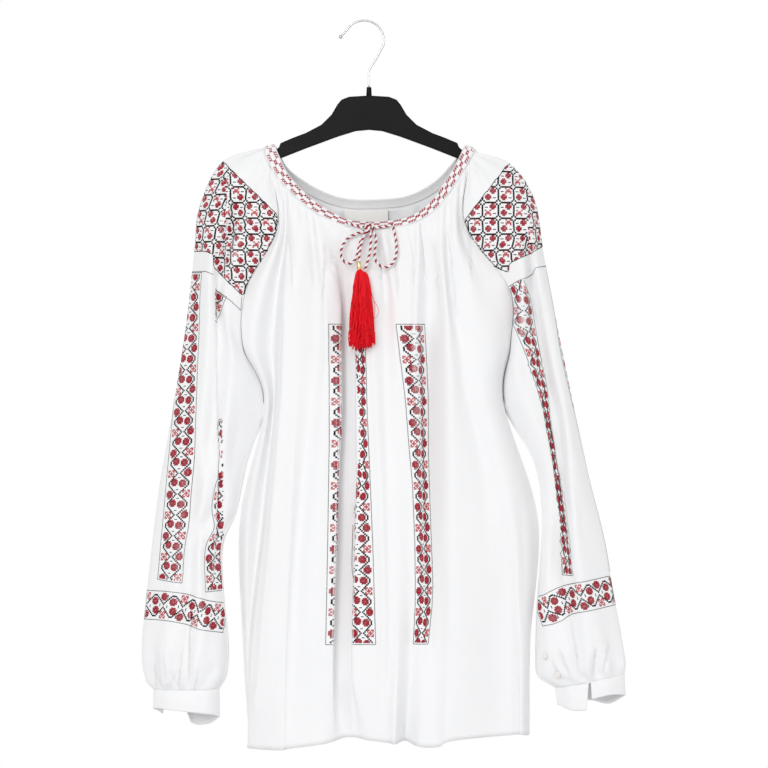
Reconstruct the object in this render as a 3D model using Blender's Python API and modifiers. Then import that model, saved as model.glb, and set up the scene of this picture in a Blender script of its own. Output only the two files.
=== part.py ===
"""A gathered folk blouse with raglan sleeves, a drawn neckband and a tasselled cord, on a hanger.

Sizes are millimetres until they reach a mesh. X runs to the right, -Y to the front, +Z up, and the
origin is the underside of the hook where it hangs on a rail.
"""
import math

import bmesh
import bpy
import numpy as np
from mathutils import Vector

MM = 0.001
WALL = 1.2
BAND_WALL = 1.8
GAP = 0.3
SEAM = 1.0
SIDE_SEAM = 0.9
UNDERARM_EASE = 2.4

CORD_RADIUS = 1.65
HOOK_WIRE_RADIUS = 1.2
HOOK_BEND_RADIUS = 24.0
HANGER_HALF_THICKNESS = 4.5
HANGER_EDGE_ROUND = 1.0
HANGER_CENTRE_X = 6.0

# The band round the neck: its upper and lower edge at each station, from the left shoulder over the
# front to the right shoulder and round the back.
NECK_STATIONS = (
    # upper x, y, z,     lower x, y, z
    (-106.5, 0.0, -149.0, -119.8, 0.0, -152.0),
    (-105.5, -6.5, -150.6, -119.0, -8.0, -154.8),
    (-102.5, -11.5, -160.0, -115.5, -14.5, -168.0),
    (-88.0, -17.0, -187.5, -96.5, -22.0, -196.5),
    (-59.0, -23.0, -216.5, -66.0, -28.0, -225.5),
    (-26.0, -26.0, -236.5, -30.0, -32.0, -244.5),
    (-2.0, -27.0, -242.0, -4.0, -33.5, -249.0),
    (31.0, -27.0, -241.0, 32.0, -33.5, -249.0),
    (58.0, -26.0, -234.0, 62.0, -32.0, -242.5),
    (80.0, -23.0, -217.0, 87.0, -28.5, -226.0),
    (96.0, -19.0, -195.0, 105.0, -23.5, -202.5),
    (110.0, -13.0, -172.0, 120.5, -16.5, -178.0),
    (119.0, -6.5, -153.0, 131.5, -8.0, -158.0),
    (120.5, 0.0, -150.0, 132.8, 0.0, -154.0),
    (119.5, 6.5, -152.0, 132.0, 8.0, -157.0),
    (109.0, 14.0, -166.0, 119.0, 17.0, -172.0),
    (85.0, 22.0, -191.0, 92.0, 25.0, -199.5),
    (53.0, 26.5, -207.5, 57.0, 29.0, -218.0),
    (16.0, 27.5, -212.0, 16.0, 30.5, -223.0),
    (-22.0, 27.0, -211.0, -24.0, 30.0, -222.0),
    (-55.0, 24.0, -200.0, -61.0, 27.0, -209.5),
    (-90.0, 15.5, -177.0, -99.0, 18.5, -184.5),
    (-104.0, 6.5, -152.6, -118.0, 8.0, -157.0),
)
NECK_STEPS = 3
FRONT_STATIONS = 14
BACK_SPAN = 8
SHOULDER_STATIONS = 5

# Heights of the body's sections below the neck seam and the yoke, which lies halfway to the chest.
BODY_HEIGHTS = {"chest": -322.0, "bust": -388.0, "underarm": -458.0, "waist": -598.0, "hip": -742.0}
BODY_STEPS = (3, 3, 2, 2, 2, 2, 2)

# Each lengthwise fold of the front: where it lies and how far forward it stands at each section.
# x at: neck, yoke, chest, bust, underarm, waist, hip, hem
# depth at:    yoke, chest, bust, underarm, waist, hip, hem    then the height of the hem
FRONT_FOLDS = (
    ("left seam", (-110, -103, -140, -145, -120, -149, -146, -138), (21, 17, 11, 3, 0, -2, 0), -868),
    ("side ridge", (-104, -100, -122, -132, -115, -138, -141, -137), (25, 26, 22, 13, 14, 8, 7), -868),
    ("side valley", (-97, -95, -104, -110, -107, -122, -136, -136), (18, 14, 9, 5, 7, 12, 13), -868),
    ("fold edge", (-89, -90, -96, -99, -102, -115, -130, -136), (28, 34, 36, 38, 40, 37, 27), -869),
    ("left crown", (-78, -77, -79, -81, -83, -89, -96, -100), (35, 40, 43, 45, 48, 49, 47), -869),
    ("left crease", (-64, -61, -56, -56, -62, -77, -86, -88), (30, 34, 38, 41, 44, 46, 46), -867),
    ("left strip ridge", (-53, -48, -43, -40, -41, -46, -49, -47), (38, 43, 46, 47, 49, 50, 50), -861),
    ("centre valley", (-24, -20, -17, -16, -17, -17, -18, -17), (26, 21, 18, 17, 18, 22, 31), -855),
    ("centre ridge", (-11, -4, 4, 6, 10, 16, 18, 12), (40, 46, 48, 48, 49, 49, 46), -858),
    ("bow crease", (15, 19, 26, 26, 27, 29, 31, 29), (34, 38, 42, 45, 47, 48, 47), -860),
    ("tassel ridge", (26, 32, 37, 40, 41, 42, 41, 37), (40, 44, 46, 47, 48, 50, 53), -861),
    ("hem valley", (50, 52, 53, 53, 53, 53, 55, 49), (36, 41, 44, 46, 46, 39, 24), -860),
    ("right strip ridge", (62, 64, 63, 62, 64, 66, 68, 66), (39, 43, 45, 46, 46, 44, 44), -865),
    ("right valley", (71, 74, 77, 76, 75, 77, 80, 88), (27, 27, 27, 29, 35, 42, 47), -865),
    ("right crown", (86, 90, 95, 99, 102, 106, 109, 106), (38, 44, 47, 49, 51, 52, 51), -857),
    ("slant valley", (97, 98, 103, 115, 125, 160, 171, 176), (30, 34, 36, 38, 38, 30, 27), -853),
    ("side crown", (107, 109, 126, 137, 145, 178, 186, 187), (34, 38, 40, 41, 40, 36, 34), -852),
    ("raglan valley", (117, 117, 146, 158, 160, 195, 195, 194), (22, 29, 33, 29, 28, 25, 22), -854),
    ("right seam", (125, 121, 173, 175, 168, 209, 200, 199), (16, 18, 12, 4, 4, 2, 0), -855),
)
FRONT_COLUMN_STEPS = 3

BACK_FOLDS = (
    ("left ridge", (-92, -97, -118, -124, -104, -128, -128, -124), (24, 25, 24, 22, 24, 24, 24), -862),
    ("left valley", (-76, -80, -92, -96, -88, -98, -104, -100), (22, 20, 18, 18, 18, 17, 18), -860),
    ("left crown", (-58, -60, -66, -68, -66, -70, -74, -72), (30, 32, 33, 33, 34, 35, 34), -862),
    ("inner valley", (-36, -36, -36, -36, -36, -34, -36, -34), (26, 23, 22, 21, 21, 22, 24), -860),
    ("centre crown", (-8, -6, -4, -2, 0, 4, 4, 6), (31, 33, 34, 34, 35, 36, 36), -863),
    ("centre crease", (20, 22, 24, 26, 28, 34, 36, 36), (27, 25, 24, 24, 24, 25, 26), -861),
    ("right crown", (46, 48, 54, 58, 60, 72, 72, 70), (31, 33, 34, 34, 35, 36, 35), -860),
    ("right valley", (68, 72, 84, 90, 94, 108, 108, 104), (24, 22, 21, 20, 20, 20, 20), -857),
    ("side crown", (88, 92, 114, 124, 124, 144, 144, 142), (27, 28, 29, 29, 29, 29, 28), -855),
    ("side valley", (106, 108, 146, 154, 150, 182, 178, 176), (20, 20, 19, 16, 16, 16, 15), -854),
)
BACK_COLUMN_STEPS = 3
BACK_SEAM_SHIFT = 2.0
BACK_NECK_ENDS = (-105.0, 121.0)
UNDERARM_ROW = 5

# Sections of a sleeve from the neck to the cuff: its outermost point, its inner edge below the
# underarm, the fullness to front and back, where the main fold lies between outer edge (0) and
# inner edge (1), and how far each of five folds stands forward of the plain round.
SLEEVE_SEAM_STEPS = (3, 3, 2, 2)
LEFT_SLEEVE = (
    # outer x, z, inner x, z, front, back, fold at, five fold heights
    (-119.5, -152.6, 0.0, 0.0, 2.0, 2.0, 0.50, (0, 0, 0, 0, 0)),
    (-170.0, -169.5, 0.0, 0.0, 15.0, 15.0, 0.45, (0, 2, -3, 3, 0)),
    (-197.0, -223.0, 0.0, 0.0, 19.0, 18.0, 0.53, (2, 3, -9, 2, -1)),
    (-203.0, -274.0, 0.0, 0.0, 21.0, 19.0, 0.50, (1, 4, -8, 1, -4)),
    (-212.0, -357.0, 0.0, 0.0, 24.0, 20.0, 0.44, (-1, 4, -5, 3, -6)),
    (-228.0, -460.0, -140.0, -529.0, 24.0, 20.0, 0.52, (-3, 3, -7, 3, -5)),
    (-244.0, -550.0, -153.0, -589.0, 23.0, 20.0, 0.60, (-1, -5, 3, -7, -2)),
    (-253.0, -620.0, -169.0, -628.0, 22.0, 20.0, 0.56, (-1, 2, -6, 3, -4)),
    (-260.0, -683.0, -168.0, -685.0, 22.0, 20.0, 0.55, (-1, 2, -6, 3, -2)),
    (-265.0, -733.0, -163.0, -733.0, 23.0, 21.0, 0.55, (0, 2, -5, 3, -2)),
    (-265.5, -766.0, -162.0, -762.0, 23.0, 21.0, 0.50, (0, 1, -3, 2, 0)),
    (-260.0, -789.0, -165.0, -786.0, 21.0, 20.0, 0.50, (0, 0, 0, 0, 0)),
    (-252.0, -801.0, -174.0, -801.0, 16.0, 16.0, 0.50, (0, 0, 0, 0, 0)),
)
RIGHT_SLEEVE = (
    (132.5, -154.6, 0.0, 0.0, 2.0, 2.0, 0.50, (0, 0, 0, 0, 0)),
    (175.0, -171.5, 0.0, 0.0, 15.0, 15.0, 0.45, (0, 2, 2, 1, 0)),
    (204.0, -214.0, 0.0, 0.0, 19.0, 18.0, 0.42, (1, 2, -4, 3, 0)),
    (215.0, -280.0, 0.0, 0.0, 21.0, 19.0, 0.36, (2, 0, -12, -1, 2)),
    (230.0, -361.0, 0.0, 0.0, 23.0, 20.0, 0.32, (3, -1, -14, -6, 0)),
    (250.0, -458.0, 204.0, -529.0, 23.0, 20.0, 0.38, (2, 2, -14, -12, -6)),
    (269.0, -545.0, 213.0, -592.0, 22.0, 20.0, 0.52, (1, 2, -13, -12, -6)),
    (288.0, -622.0, 211.5, -645.0, 22.0, 20.0, 0.62, (0, 2, -14, -12, -5)),
    (298.0, -682.0, 207.5, -694.0, 22.0, 20.0, 0.58, (0, 2, -12, -8, -3)),
    (307.0, -730.0, 205.5, -742.0, 23.0, 21.0, 0.54, (0, 1, -7, -3, -1)),
    (310.0, -752.0, 205.5, -761.0, 23.0, 21.0, 0.50, (0, 1, -3, 0, 0)),
    (312.0, -771.0, 208.0, -785.0, 20.0, 19.0, 0.50, (0, 0, 0, 0, 0)),
    (312.0, -783.0, 230.0, -800.0, 15.0, 15.0, 0.50, (0, 0, 0, 0, 0)),
)
SLEEVE_STEPS = SLEEVE_SEAM_STEPS + (2, 1, 1, 1, 1, 1, 1, 1)
SLEEVE_SHARES = (0.17, 0.34, 0.5, 0.66, 0.83)
SLEEVE_FULLNESS = 0.6
SLEEVE_COLUMN_STEPS = (3,) * 6 + (2,) * 6
BACK_FOLD_SHARE = -0.5

# Gathers: how many, how deep, and how far they run before they fade.
NECK_GATHERS_FRONT = 14
NECK_GATHERS_BACK = 9
NECK_GATHERS_SLEEVE = 8
CUFF_GATHERS = 9
GATHER_DEPTH = 3.0
SHOULDER_GATHER_DEPTH = 1.5
GATHER_RISE = 12.0
GATHER_FADE = 38.0
# How the gathers wander from even spacing: by how much, and over how many turns across the cloth.
GATHER_WANDER = ((0.9, 1.7), (0.5, 4.1))

# A cuff's lower edge, round from its open front end: share of the way, then the move from the
# upper edge.
LEFT_CUFF_OPENS = 0.667
LEFT_CUFF_EDGE = (
    (0.00, 16.0, 1.0, -42.0),
    (0.12, 4.0, 3.0, -45.0),
    (0.24, 0.0, 2.0, -42.0),
    (0.34, 0.5, 0.0, -32.0),
    (0.50, 0.0, -2.0, -27.0),
    (0.66, 0.0, -2.0, -24.0),
    (0.80, -0.5, 0.0, -23.0),
    (0.90, -1.0, 1.5, -29.0),
    (1.00, -18.0, 2.0, -31.0),
)
RIGHT_CUFF_OPENS = 0.24
RIGHT_CUFF_EDGE = (
    (0.00, 1.5, -1.5, -20.0),
    (0.13, 1.0, -2.0, -20.0),
    (0.26, 1.0, 0.0, -26.0),
    (0.36, -2.0, 3.0, -34.0),
    (0.50, 0.0, 2.0, -25.0),
    (0.65, 1.0, 2.0, -22.0),
    (0.76, 3.0, 0.0, -20.0),
    (0.88, 1.0, -2.0, -29.0),
    (1.00, -3.0, -3.0, -33.0),
)
CUFF_STEPS = 28
CUFF_EDGE_STEPS = 6
CUFF_END_MARGIN = 1.0
CUFF_BULGE = 1.06

LABEL_SIZE = (53.0, 30.0)
LABEL_CENTRE_X = 2.5
LABEL_WALL = 0.7
LABEL_STEPS = (5, 10)
LABEL_CLEARS_GATHERS = 1.2

BUTTON_RADIUS = 4.0
BUTTON_THICK = 2.6
# Where each button sits: across, height, and front (-1) or back (1).
LEFT_BUTTONS = ((-238.0, -811.0, 1), (-240.0, -821.0, 1))
RIGHT_BUTTONS = ((221.0, -771.0, -1), (232.0, -789.0, -1))

# Half of the hanger's outline as distance from its centre line and height, top edge out to the tip
# and back along the underside.
HANGER_HALF = (
    (0, -89), (24, -90.5), (33, -94), (38, -100), (45, -112), (57, -124), (76, -134), (92, -140),
    (106, -146), (108, -151), (111, -153.8), (120, -154.4), (127, -159.7), (140, -168.5),
    (154, -176.0), (164, -183), (170, -189), (167, -194), (156, -190), (143, -183), (108, -165),
    (75, -152), (37, -138), (16, -131.5), (0, -130),
)
COLLAR_RADIUS = 3.2
COLLAR_TAPER = 0.9
COLLAR_TOP = -78.6
# The hook's stem bends forward from the collar into an arc between two angles in degrees.
HOOK_STEM = ((6.0, 0.0, -64.0), (6.4, 0.0, -58.0), (15.0, 0.0, -44.0))
HOOK_STEM_STEPS = (1, 3, 2)
HOOK_BEND = (-14.0, 148.0)
HOOK_BEND_POINTS = 15
HOOK_TIP = (-28.0, 0.0, -18.4)
HOOK_BALL_RADIUS = 2.4

KNOT_CENTRE = (6.5, -40.2, -250.0)
KNOT_RADII = (6.0, 5.0, 5.0)
# The drawstring's runs, loops and tails, each from where it leaves the knot.
CORD_ROUTES = {
    "cord_run_left": ((0.3, -39.6, -249.4), (-7.0, -38.0, -247.6), (-14.0, -36.0, -245.6),
                      (-20.5, -33.8, -242.6)),
    "cord_run_right": ((12.8, -40.0, -249.4), (20.0, -38.8, -248.6), (27.0, -37.2, -247.6),
                       (34.0, -35.4, -245.6)),
    "bow_loop_left": ((1.1, -42.0, -253.8), (-8.0, -41.0, -256.5), (-18.0, -39.5, -261.5),
                      (-24.6, -39.0, -270.0), (-27.0, -39.5, -279.5), (-24.8, -41.0, -288.0),
                      (-17.5, -43.0, -292.5), (-10.4, -44.4, -288.0), (-7.2, -44.6, -279.0),
                      (-5.0, -44.4, -269.0), (-0.8, -43.6, -260.0), (2.6, -42.6, -256.0)),
    "bow_loop_right": ((11.2, -42.4, -253.6), (14.6, -43.0, -262.0), (13.6, -44.6, -274.0),
                       (13.0, -46.0, -284.0), (16.4, -47.4, -292.4), (24.5, -48.0, -297.0),
                       (33.0, -47.2, -293.2), (38.0, -45.4, -284.0), (38.8, -43.0, -273.0),
                       (37.6, -40.4, -262.0), (35.4, -38.4, -253.2)),
    "cord_tail_left": ((4.6, -46.4, -251.4), (1.0, -49.6, -257.0), (-2.4, -50.8, -267.0),
                       (-4.6, -52.6, -278.0), (-5.6, -55.6, -289.9)),
    "cord_tail_right": ((7.2, -44.4, -254.5), (7.6, -48.4, -266.0), (7.0, -50.4, -278.0),
                        (6.4, -52.4, -290.0), (6.8, -54.6, -298.2)),
}
CORD_CURVE_STEPS = 8
CORD_PITCH = 7.5
BEAD = {"centre": (-5.8, -56.4, -295.4), "radius": 2.9, "taper": 0.8, "length": 9.6}
# A tassel: head top, head radius, foot centre, foot radius, foot height.
TASSELS = {
    "tassel_left": {"top": (-6.0, -56.8, -301.0), "head": 6.2, "foot": (-7.9, -63.4), "spread": 8.0,
                    "end": -389.0},
    "tassel_right": {"top": (7.1, -55.2, -299.0), "head": 5.8, "foot": (8.4, -57.4), "spread": 7.3,
                     "end": -386.0},
}
TASSEL_HEAD_LENGTH = 16.0
TASSEL_SIDE = 5
# The head's outline: height from neck to top, and width beside the head's own.
TASSEL_PROFILE = ((0.35, 0.78), (0.5, 0.98), (0.82, 0.9), (1.0, 0.4))
SKIRT_WIDTH = 1.08
SKIRT_FLARE = 0.7
STRAND_SLIT = 0.16
STRAND_RINGS = 2
# How far the strands' ends differ and how far they sway, each with the turn from strand to strand.
RAGGED = 3.0
RAGGED_TURN = 2.7
SWAY = 0.35
SWAY_TURN = 1.9


def catmull_rom(points, steps):
    """Points on a smooth curve through the given ones; steps holds the count for each span."""
    points = np.asarray(points, dtype=float)
    before = np.vstack([2 * points[:1] - points[1:2], points[:-1]])
    after = np.vstack([points[1:], 2 * points[-1:] - points[-2:-1]])
    tangent = (after - before) / 2
    out = []
    for i, count in enumerate(steps):
        for k in range(count):
            t = k / count
            out.append((2 * t ** 3 - 3 * t ** 2 + 1) * points[i]
                       + (t ** 3 - 2 * t ** 2 + t) * tangent[i]
                       + (3 * t ** 2 - 2 * t ** 3) * points[i + 1]
                       + (t ** 3 - t ** 2) * tangent[i + 1])
    out.append(points[-1])
    return np.array(out)


def smooth_net(net, row_steps, column_steps):
    """A fine grid of points through a coarse net of sections (rows) and folds (columns)."""
    net = np.asarray(net, dtype=float)
    rows, columns, _ = net.shape
    tall = catmull_rom(net.reshape(rows, columns * 3), row_steps).reshape(-1, columns, 3)
    wide = [catmull_rom(row, column_steps) for row in tall]
    return np.array(wide)


def along(points):
    """How far along a line of points each of them lies."""
    return np.concatenate([[0], np.cumsum(np.linalg.norm(np.diff(points, axis=0), axis=1))])


def placed_along(points, stops):
    """Points at the given distances along a line of points."""
    length = along(points)
    return np.column_stack([np.interp(stops, length, points[:, k]) for k in range(3)])


def grid_normals(grid):
    """The unit normal at each point of a grid."""
    normal = np.cross(np.gradient(grid, axis=0), np.gradient(grid, axis=1))
    return normal / np.maximum(np.linalg.norm(normal, axis=2, keepdims=True), 1e-9)


def gathered(grid, count, from_last_row=False, seed=0.0, outward=1.0, depth=GATHER_DEPTH):
    """The grid with uneven small pleats that start at its first or last row and fade out."""
    rows = grid[::-1] if from_last_row else grid
    fall = np.linalg.norm(np.diff(rows, axis=0), axis=2)
    distance = np.vstack([np.zeros(rows.shape[1]), np.cumsum(fall, axis=0)])
    share = np.linspace(0, 1, rows.shape[1])[None, :]
    (first, turns), (second, more_turns) = GATHER_WANDER
    wander = (first * np.sin(2 * math.pi * turns * share + seed)
              + second * np.sin(2 * math.pi * more_turns * share))
    wave = np.cos(2 * math.pi * count * share + wander)
    size = np.minimum(1, distance / GATHER_RISE) * np.exp(-distance / GATHER_FADE)
    edges = np.minimum(1, np.minimum(share, 1 - share) * count)
    moved = rows + outward * grid_normals(rows) * (depth * size * wave * edges)[..., None]
    return moved[::-1] if from_last_row else moved


def material(name, colour, roughness, metallic=0.0):
    """A plain Principled finish."""
    made = bpy.data.materials.new(name)
    made.use_nodes = True
    shader = made.node_tree.nodes["Principled BSDF"]
    shader.inputs["Base Color"].default_value = (*colour, 1.0)
    shader.inputs["Roughness"].default_value = roughness
    shader.inputs["Metallic"].default_value = metallic
    return made


def add_object(name, data, finish, smooth=True):
    """Links a mesh or curve into the blouse's collection under its own name."""
    data.materials.append(finish)
    made = bpy.data.objects.new(name, data)
    bpy.data.collections["folk_blouse"].objects.link(made)
    if smooth and isinstance(data, bpy.types.Mesh):
        data.shade_smooth()
    return made


def cloth_wall(name, grid, finish, wall=WALL, closed=False):
    """Cloth of even thickness over a grid of points in millimetres."""
    rows, columns = grid.shape[:2]
    shape = bmesh.new()
    points = [[shape.verts.new(point * MM) for point in row] for row in grid]
    for r in range(rows - 1):
        for c in range(columns if closed else columns - 1):
            d = (c + 1) % columns
            shape.faces.new((points[r][c], points[r + 1][c], points[r + 1][d], points[r][d]))
    mesh = bpy.data.meshes.new(name)
    shape.to_mesh(mesh)
    shape.free()
    made = add_object(name, mesh, finish)
    thick = made.modifiers.new("cloth thickness", "SOLIDIFY")
    thick.thickness = wall * MM
    thick.offset = 0.0
    return made


def neck_edges():
    """Both edges of the neckband as closed rings of points."""
    stations = np.array(NECK_STATIONS)
    ring = np.vstack([stations[-1:], stations, stations[:2]])
    dense = catmull_rom(ring, (NECK_STEPS,) * (len(ring) - 1))
    dense = dense[NECK_STEPS:-NECK_STEPS - 1]
    dense = dense[:len(stations) * NECK_STEPS]
    return dense[:, :3], dense[:, 3:]


def seam_edge():
    """The ring just below the band's lower edge, where the panels are sewn on."""
    upper, lower = neck_edges()
    down = lower - upper
    down /= np.linalg.norm(down, axis=1, keepdims=True)
    return lower + down * SEAM


def neck_seam(first, last, xs):
    """Points on the neck seam at the given x, between two stations."""
    edge = seam_edge()
    order = np.arange(first * NECK_STEPS, last * NECK_STEPS + 1) % len(edge)
    part = edge[order]
    if part[0, 0] > part[-1, 0]:
        part = part[::-1]
    return np.column_stack([np.interp(xs, part[:, 0], part[:, k]) for k in range(3)])


def body_net(folds, forward, first, last):
    """The coarse net of a body panel; forward is -1 for the front and 1 for the back."""
    heights = list(BODY_HEIGHTS.values())
    neck = neck_seam(first, last, [fold[1][0] for fold in folds])
    net = []
    for start, (_, xs, depths, hem) in zip(neck, folds):
        yoke_height = (start[2] + heights[0]) / 2
        column = [start]
        for x, depth, z in zip(xs[1:], depths, [yoke_height] + heights + [hem]):
            column.append((x, forward * depth, z))
        net.append(column)
    return np.array(net, dtype=float).transpose(1, 0, 2)


def front_grid():
    """The front from the neck seam to the hem."""
    net = body_net(FRONT_FOLDS, -1, 0, FRONT_STATIONS - 2)
    fine = smooth_net(net, BODY_STEPS, (FRONT_COLUMN_STEPS,) * (len(FRONT_FOLDS) - 1))
    return gathered(fine, NECK_GATHERS_FRONT, outward=-1.0)


def beside_seam(panel, column, neighbour):
    """The sleeve's edge along a panel's raglan seam, a seam's width on from the panel's own edge."""
    rows = sum(SLEEVE_SEAM_STEPS) + 1
    edge = panel[:rows, column]
    onward = edge - panel[:rows, neighbour]
    onward[:, 2] = 0
    onward /= np.linalg.norm(onward, axis=1, keepdims=True)
    ease = UNDERARM_EASE * np.linspace(0, 1, rows)[:, None] ** 3
    return edge + onward * (SEAM + ease)


def back_grid(front):
    """The back, whose sides meet the front's sides below the underarm."""
    first, last = FRONT_STATIONS, FRONT_STATIONS + BACK_SPAN
    middle = body_net(BACK_FOLDS, 1, first, last)
    levels = np.cumsum((0,) + BODY_STEPS)
    sides = []
    for column, outward in ((0, -1), (-1, 1)):
        edge = front[levels, column]
        side = edge.copy()
        side[:, 1] = np.abs(edge[:, 1])
        side[UNDERARM_ROW:, 1] = edge[UNDERARM_ROW:, 1] + 2 * SIDE_SEAM
        side[0] = neck_seam(first, last, [BACK_NECK_ENDS[column]])[0]
        side[1:UNDERARM_ROW, 0] -= outward * BACK_SEAM_SHIFT
        sides.append(side)
    net = np.concatenate([sides[0][:, None], middle, sides[1][:, None]], axis=1)
    fine = smooth_net(net, BODY_STEPS, (BACK_COLUMN_STEPS,) * (len(BACK_FOLDS) + 1))
    below = levels[UNDERARM_ROW]
    for own, other, step in ((0, 0, 1), (-1, -1, -1)):
        shift = front[below:, other] + (0, 2 * SIDE_SEAM, 0) - fine[below:, own]
        for k in range(BACK_COLUMN_STEPS):
            fine[below:, own + step * k] += shift * (1 - k / BACK_COLUMN_STEPS)
    return gathered(fine, NECK_GATHERS_BACK, seed=1.3, outward=1.0)


def sleeve_grid(table, front, back, side):
    """A sleeve as one sheet round from its front edge over the outside to its back edge."""
    levels = np.cumsum((0,) + SLEEVE_SEAM_STEPS)
    column, neighbour = (0, 1) if side < 0 else (-1, -2)
    front_edge = beside_seam(front, column, neighbour)
    back_edge = beside_seam(back, column, neighbour)
    net = []
    for i, (outer_x, outer_z, inner_x, inner_z, ahead_by, behind_by, fold_at,
            folds) in enumerate(table):
        outer = np.array((outer_x, 0.0, outer_z))
        if i < len(levels):
            ahead = front_edge[levels[i]]
            behind = back_edge[levels[i]]
        else:
            ahead = np.array((inner_x, -SIDE_SEAM, inner_z))
            behind = np.array((inner_x, SIDE_SEAM, inner_z))
        power = math.log(fold_at) / math.log(0.5)
        row = [ahead]
        for share, rise in list(zip(SLEEVE_SHARES, folds))[::-1]:
            t = share ** power
            point = outer + (ahead - outer) * t
            point[1] -= ahead_by * math.sin(math.pi * t) ** SLEEVE_FULLNESS + rise
            row.append(point)
        row.append(outer)
        for share, rise in zip(SLEEVE_SHARES, folds):
            point = outer + (behind - outer) * share
            point[1] += behind_by * math.sin(math.pi * share) ** SLEEVE_FULLNESS + BACK_FOLD_SHARE * rise
            row.append(point)
        row.append(behind)
        net.append(row)
    net = np.array(net)
    net[0] = neck_row(side, net[0])
    fine = smooth_net(net, SLEEVE_STEPS, SLEEVE_COLUMN_STEPS)
    fine[:len(front_edge), 0] = front_edge
    fine[:len(back_edge), -1] = back_edge
    pleated = gathered(fine, NECK_GATHERS_SLEEVE, seed=0.7, outward=side,
                       depth=SHOULDER_GATHER_DEPTH)
    return gathered(pleated, CUFF_GATHERS, from_last_row=True, seed=2.1, outward=side)


def neck_row(side, row):
    """The sleeve's first row, along the neckband over the shoulder."""
    edge = seam_edge()
    crown = 0 if side < 0 else (FRONT_STATIONS - 2) * NECK_STEPS
    reach = SHOULDER_STATIONS * NECK_STEPS
    near = np.roll(edge, reach - crown, axis=0)[:2 * reach + 1]
    if side < 0:
        near = near[::-1]
    length = along(near)
    start = length[np.argmin(np.linalg.norm(near - row[0], axis=1))]
    top = length[reach]
    end = length[np.argmin(np.linalg.norm(near - row[-1], axis=1))]
    half = len(row) // 2
    stops = np.concatenate([np.linspace(start, top, half + 1), np.linspace(top, end, half + 1)[1:]])
    placed = placed_along(near, stops)
    placed[0] = row[0]
    placed[-1] = row[-1]
    return placed


def cuff_grid(sleeve, opens, edge):
    """A cuff hanging from the sleeve's last row, open at the front."""
    ring = sleeve[-1]
    start = int(round(opens * (len(ring) - 1)))
    ring = np.vstack([ring[start:], ring[:start + 1]])
    stops = np.linspace(CUFF_END_MARGIN, along(ring)[-1] - CUFF_END_MARGIN, CUFF_STEPS + 1)
    top = placed_along(ring, stops)
    top[:, 2] -= SEAM
    share = np.linspace(0, 1, CUFF_STEPS + 1)
    table = np.array(edge)
    fine = catmull_rom(table, (CUFF_EDGE_STEPS,) * (len(table) - 1))
    drop = np.column_stack([np.interp(share, fine[:, 0], fine[:, k]) for k in (1, 2, 3)])
    middle = top + drop * 0.5
    middle[:, 1] *= CUFF_BULGE
    return np.array([top, middle, top + drop])


def add_cords(finish):
    """Each stretch of the drawstring as a round tube on a smooth route."""
    for name, route in CORD_ROUTES.items():
        smooth = catmull_rom(route, (CORD_CURVE_STEPS,) * (len(route) - 1))
        whole = along(smooth)[-1]
        count = max(4, int(round(whole / CORD_PITCH)) + 1)
        wire(name, placed_along(smooth, np.linspace(0, whole, count)), CORD_RADIUS, finish)


def wire(name, points, radius, finish):
    """A round rod along straight runs between the points."""
    curve = bpy.data.curves.new(name, "CURVE")
    curve.dimensions = "3D"
    curve.bevel_depth = radius * MM
    curve.bevel_resolution = 2
    curve.use_fill_caps = True
    spline = curve.splines.new("POLY")
    spline.points.add(len(points) - 1)
    for place, point in zip(spline.points, points):
        place.co = (*(np.asarray(point) * MM), 1.0)
    return add_object(name, curve, finish)


def add_button(name, cloth, wall, place, outward, finish):
    """A small domed button on the cloth at a place seen from the front or the back."""
    x, z, face = place
    half = cloth[..., 1] * face > 0
    far = np.hypot(cloth[..., 0] - x, cloth[..., 2] - z) + np.where(half, 0, 1e6)
    spot = np.unravel_index(np.argmin(far), far.shape)
    normal = grid_normals(cloth)[spot] * outward
    centre = cloth[spot] + normal * (wall / 2 + GAP + BUTTON_THICK / 2)
    shape = bmesh.new()
    bmesh.ops.create_uvsphere(shape, u_segments=12, v_segments=6, radius=BUTTON_RADIUS * MM)
    for vert in shape.verts:
        vert.co.z *= BUTTON_THICK / (2 * BUTTON_RADIUS)
    mesh = bpy.data.meshes.new(name)
    shape.to_mesh(mesh)
    shape.free()
    made = add_object(name, mesh, finish)
    made.location = [value * MM for value in centre]
    made.rotation_euler = Vector(normal).to_track_quat("Z", "Y").to_euler()


def add_hanger_bar(plastic):
    """The flat bar, from its outline."""
    curve = bpy.data.curves.new("hanger_bar", "CURVE")
    curve.dimensions = "2D"
    curve.fill_mode = "BOTH"
    curve.extrude = (HANGER_HALF_THICKNESS - HANGER_EDGE_ROUND) * MM
    curve.bevel_depth = HANGER_EDGE_ROUND * MM
    curve.bevel_resolution = 1
    curve.offset = -HANGER_EDGE_ROUND * MM
    outline = [(-x, z) for x, z in HANGER_HALF[::-1]] + list(HANGER_HALF[1:-1])
    spline = curve.splines.new("POLY")
    spline.points.add(len(outline) - 1)
    for place, (x, z) in zip(spline.points, outline):
        place.co = (x * MM, z * MM, 0.0, 1.0)
    spline.use_cyclic_u = True
    bar = add_object("hanger_bar", curve, plastic)
    bar.rotation_euler = (math.pi / 2, 0.0, 0.0)
    bar.location = (HANGER_CENTRE_X * MM, 0.0, 0.0)


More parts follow.
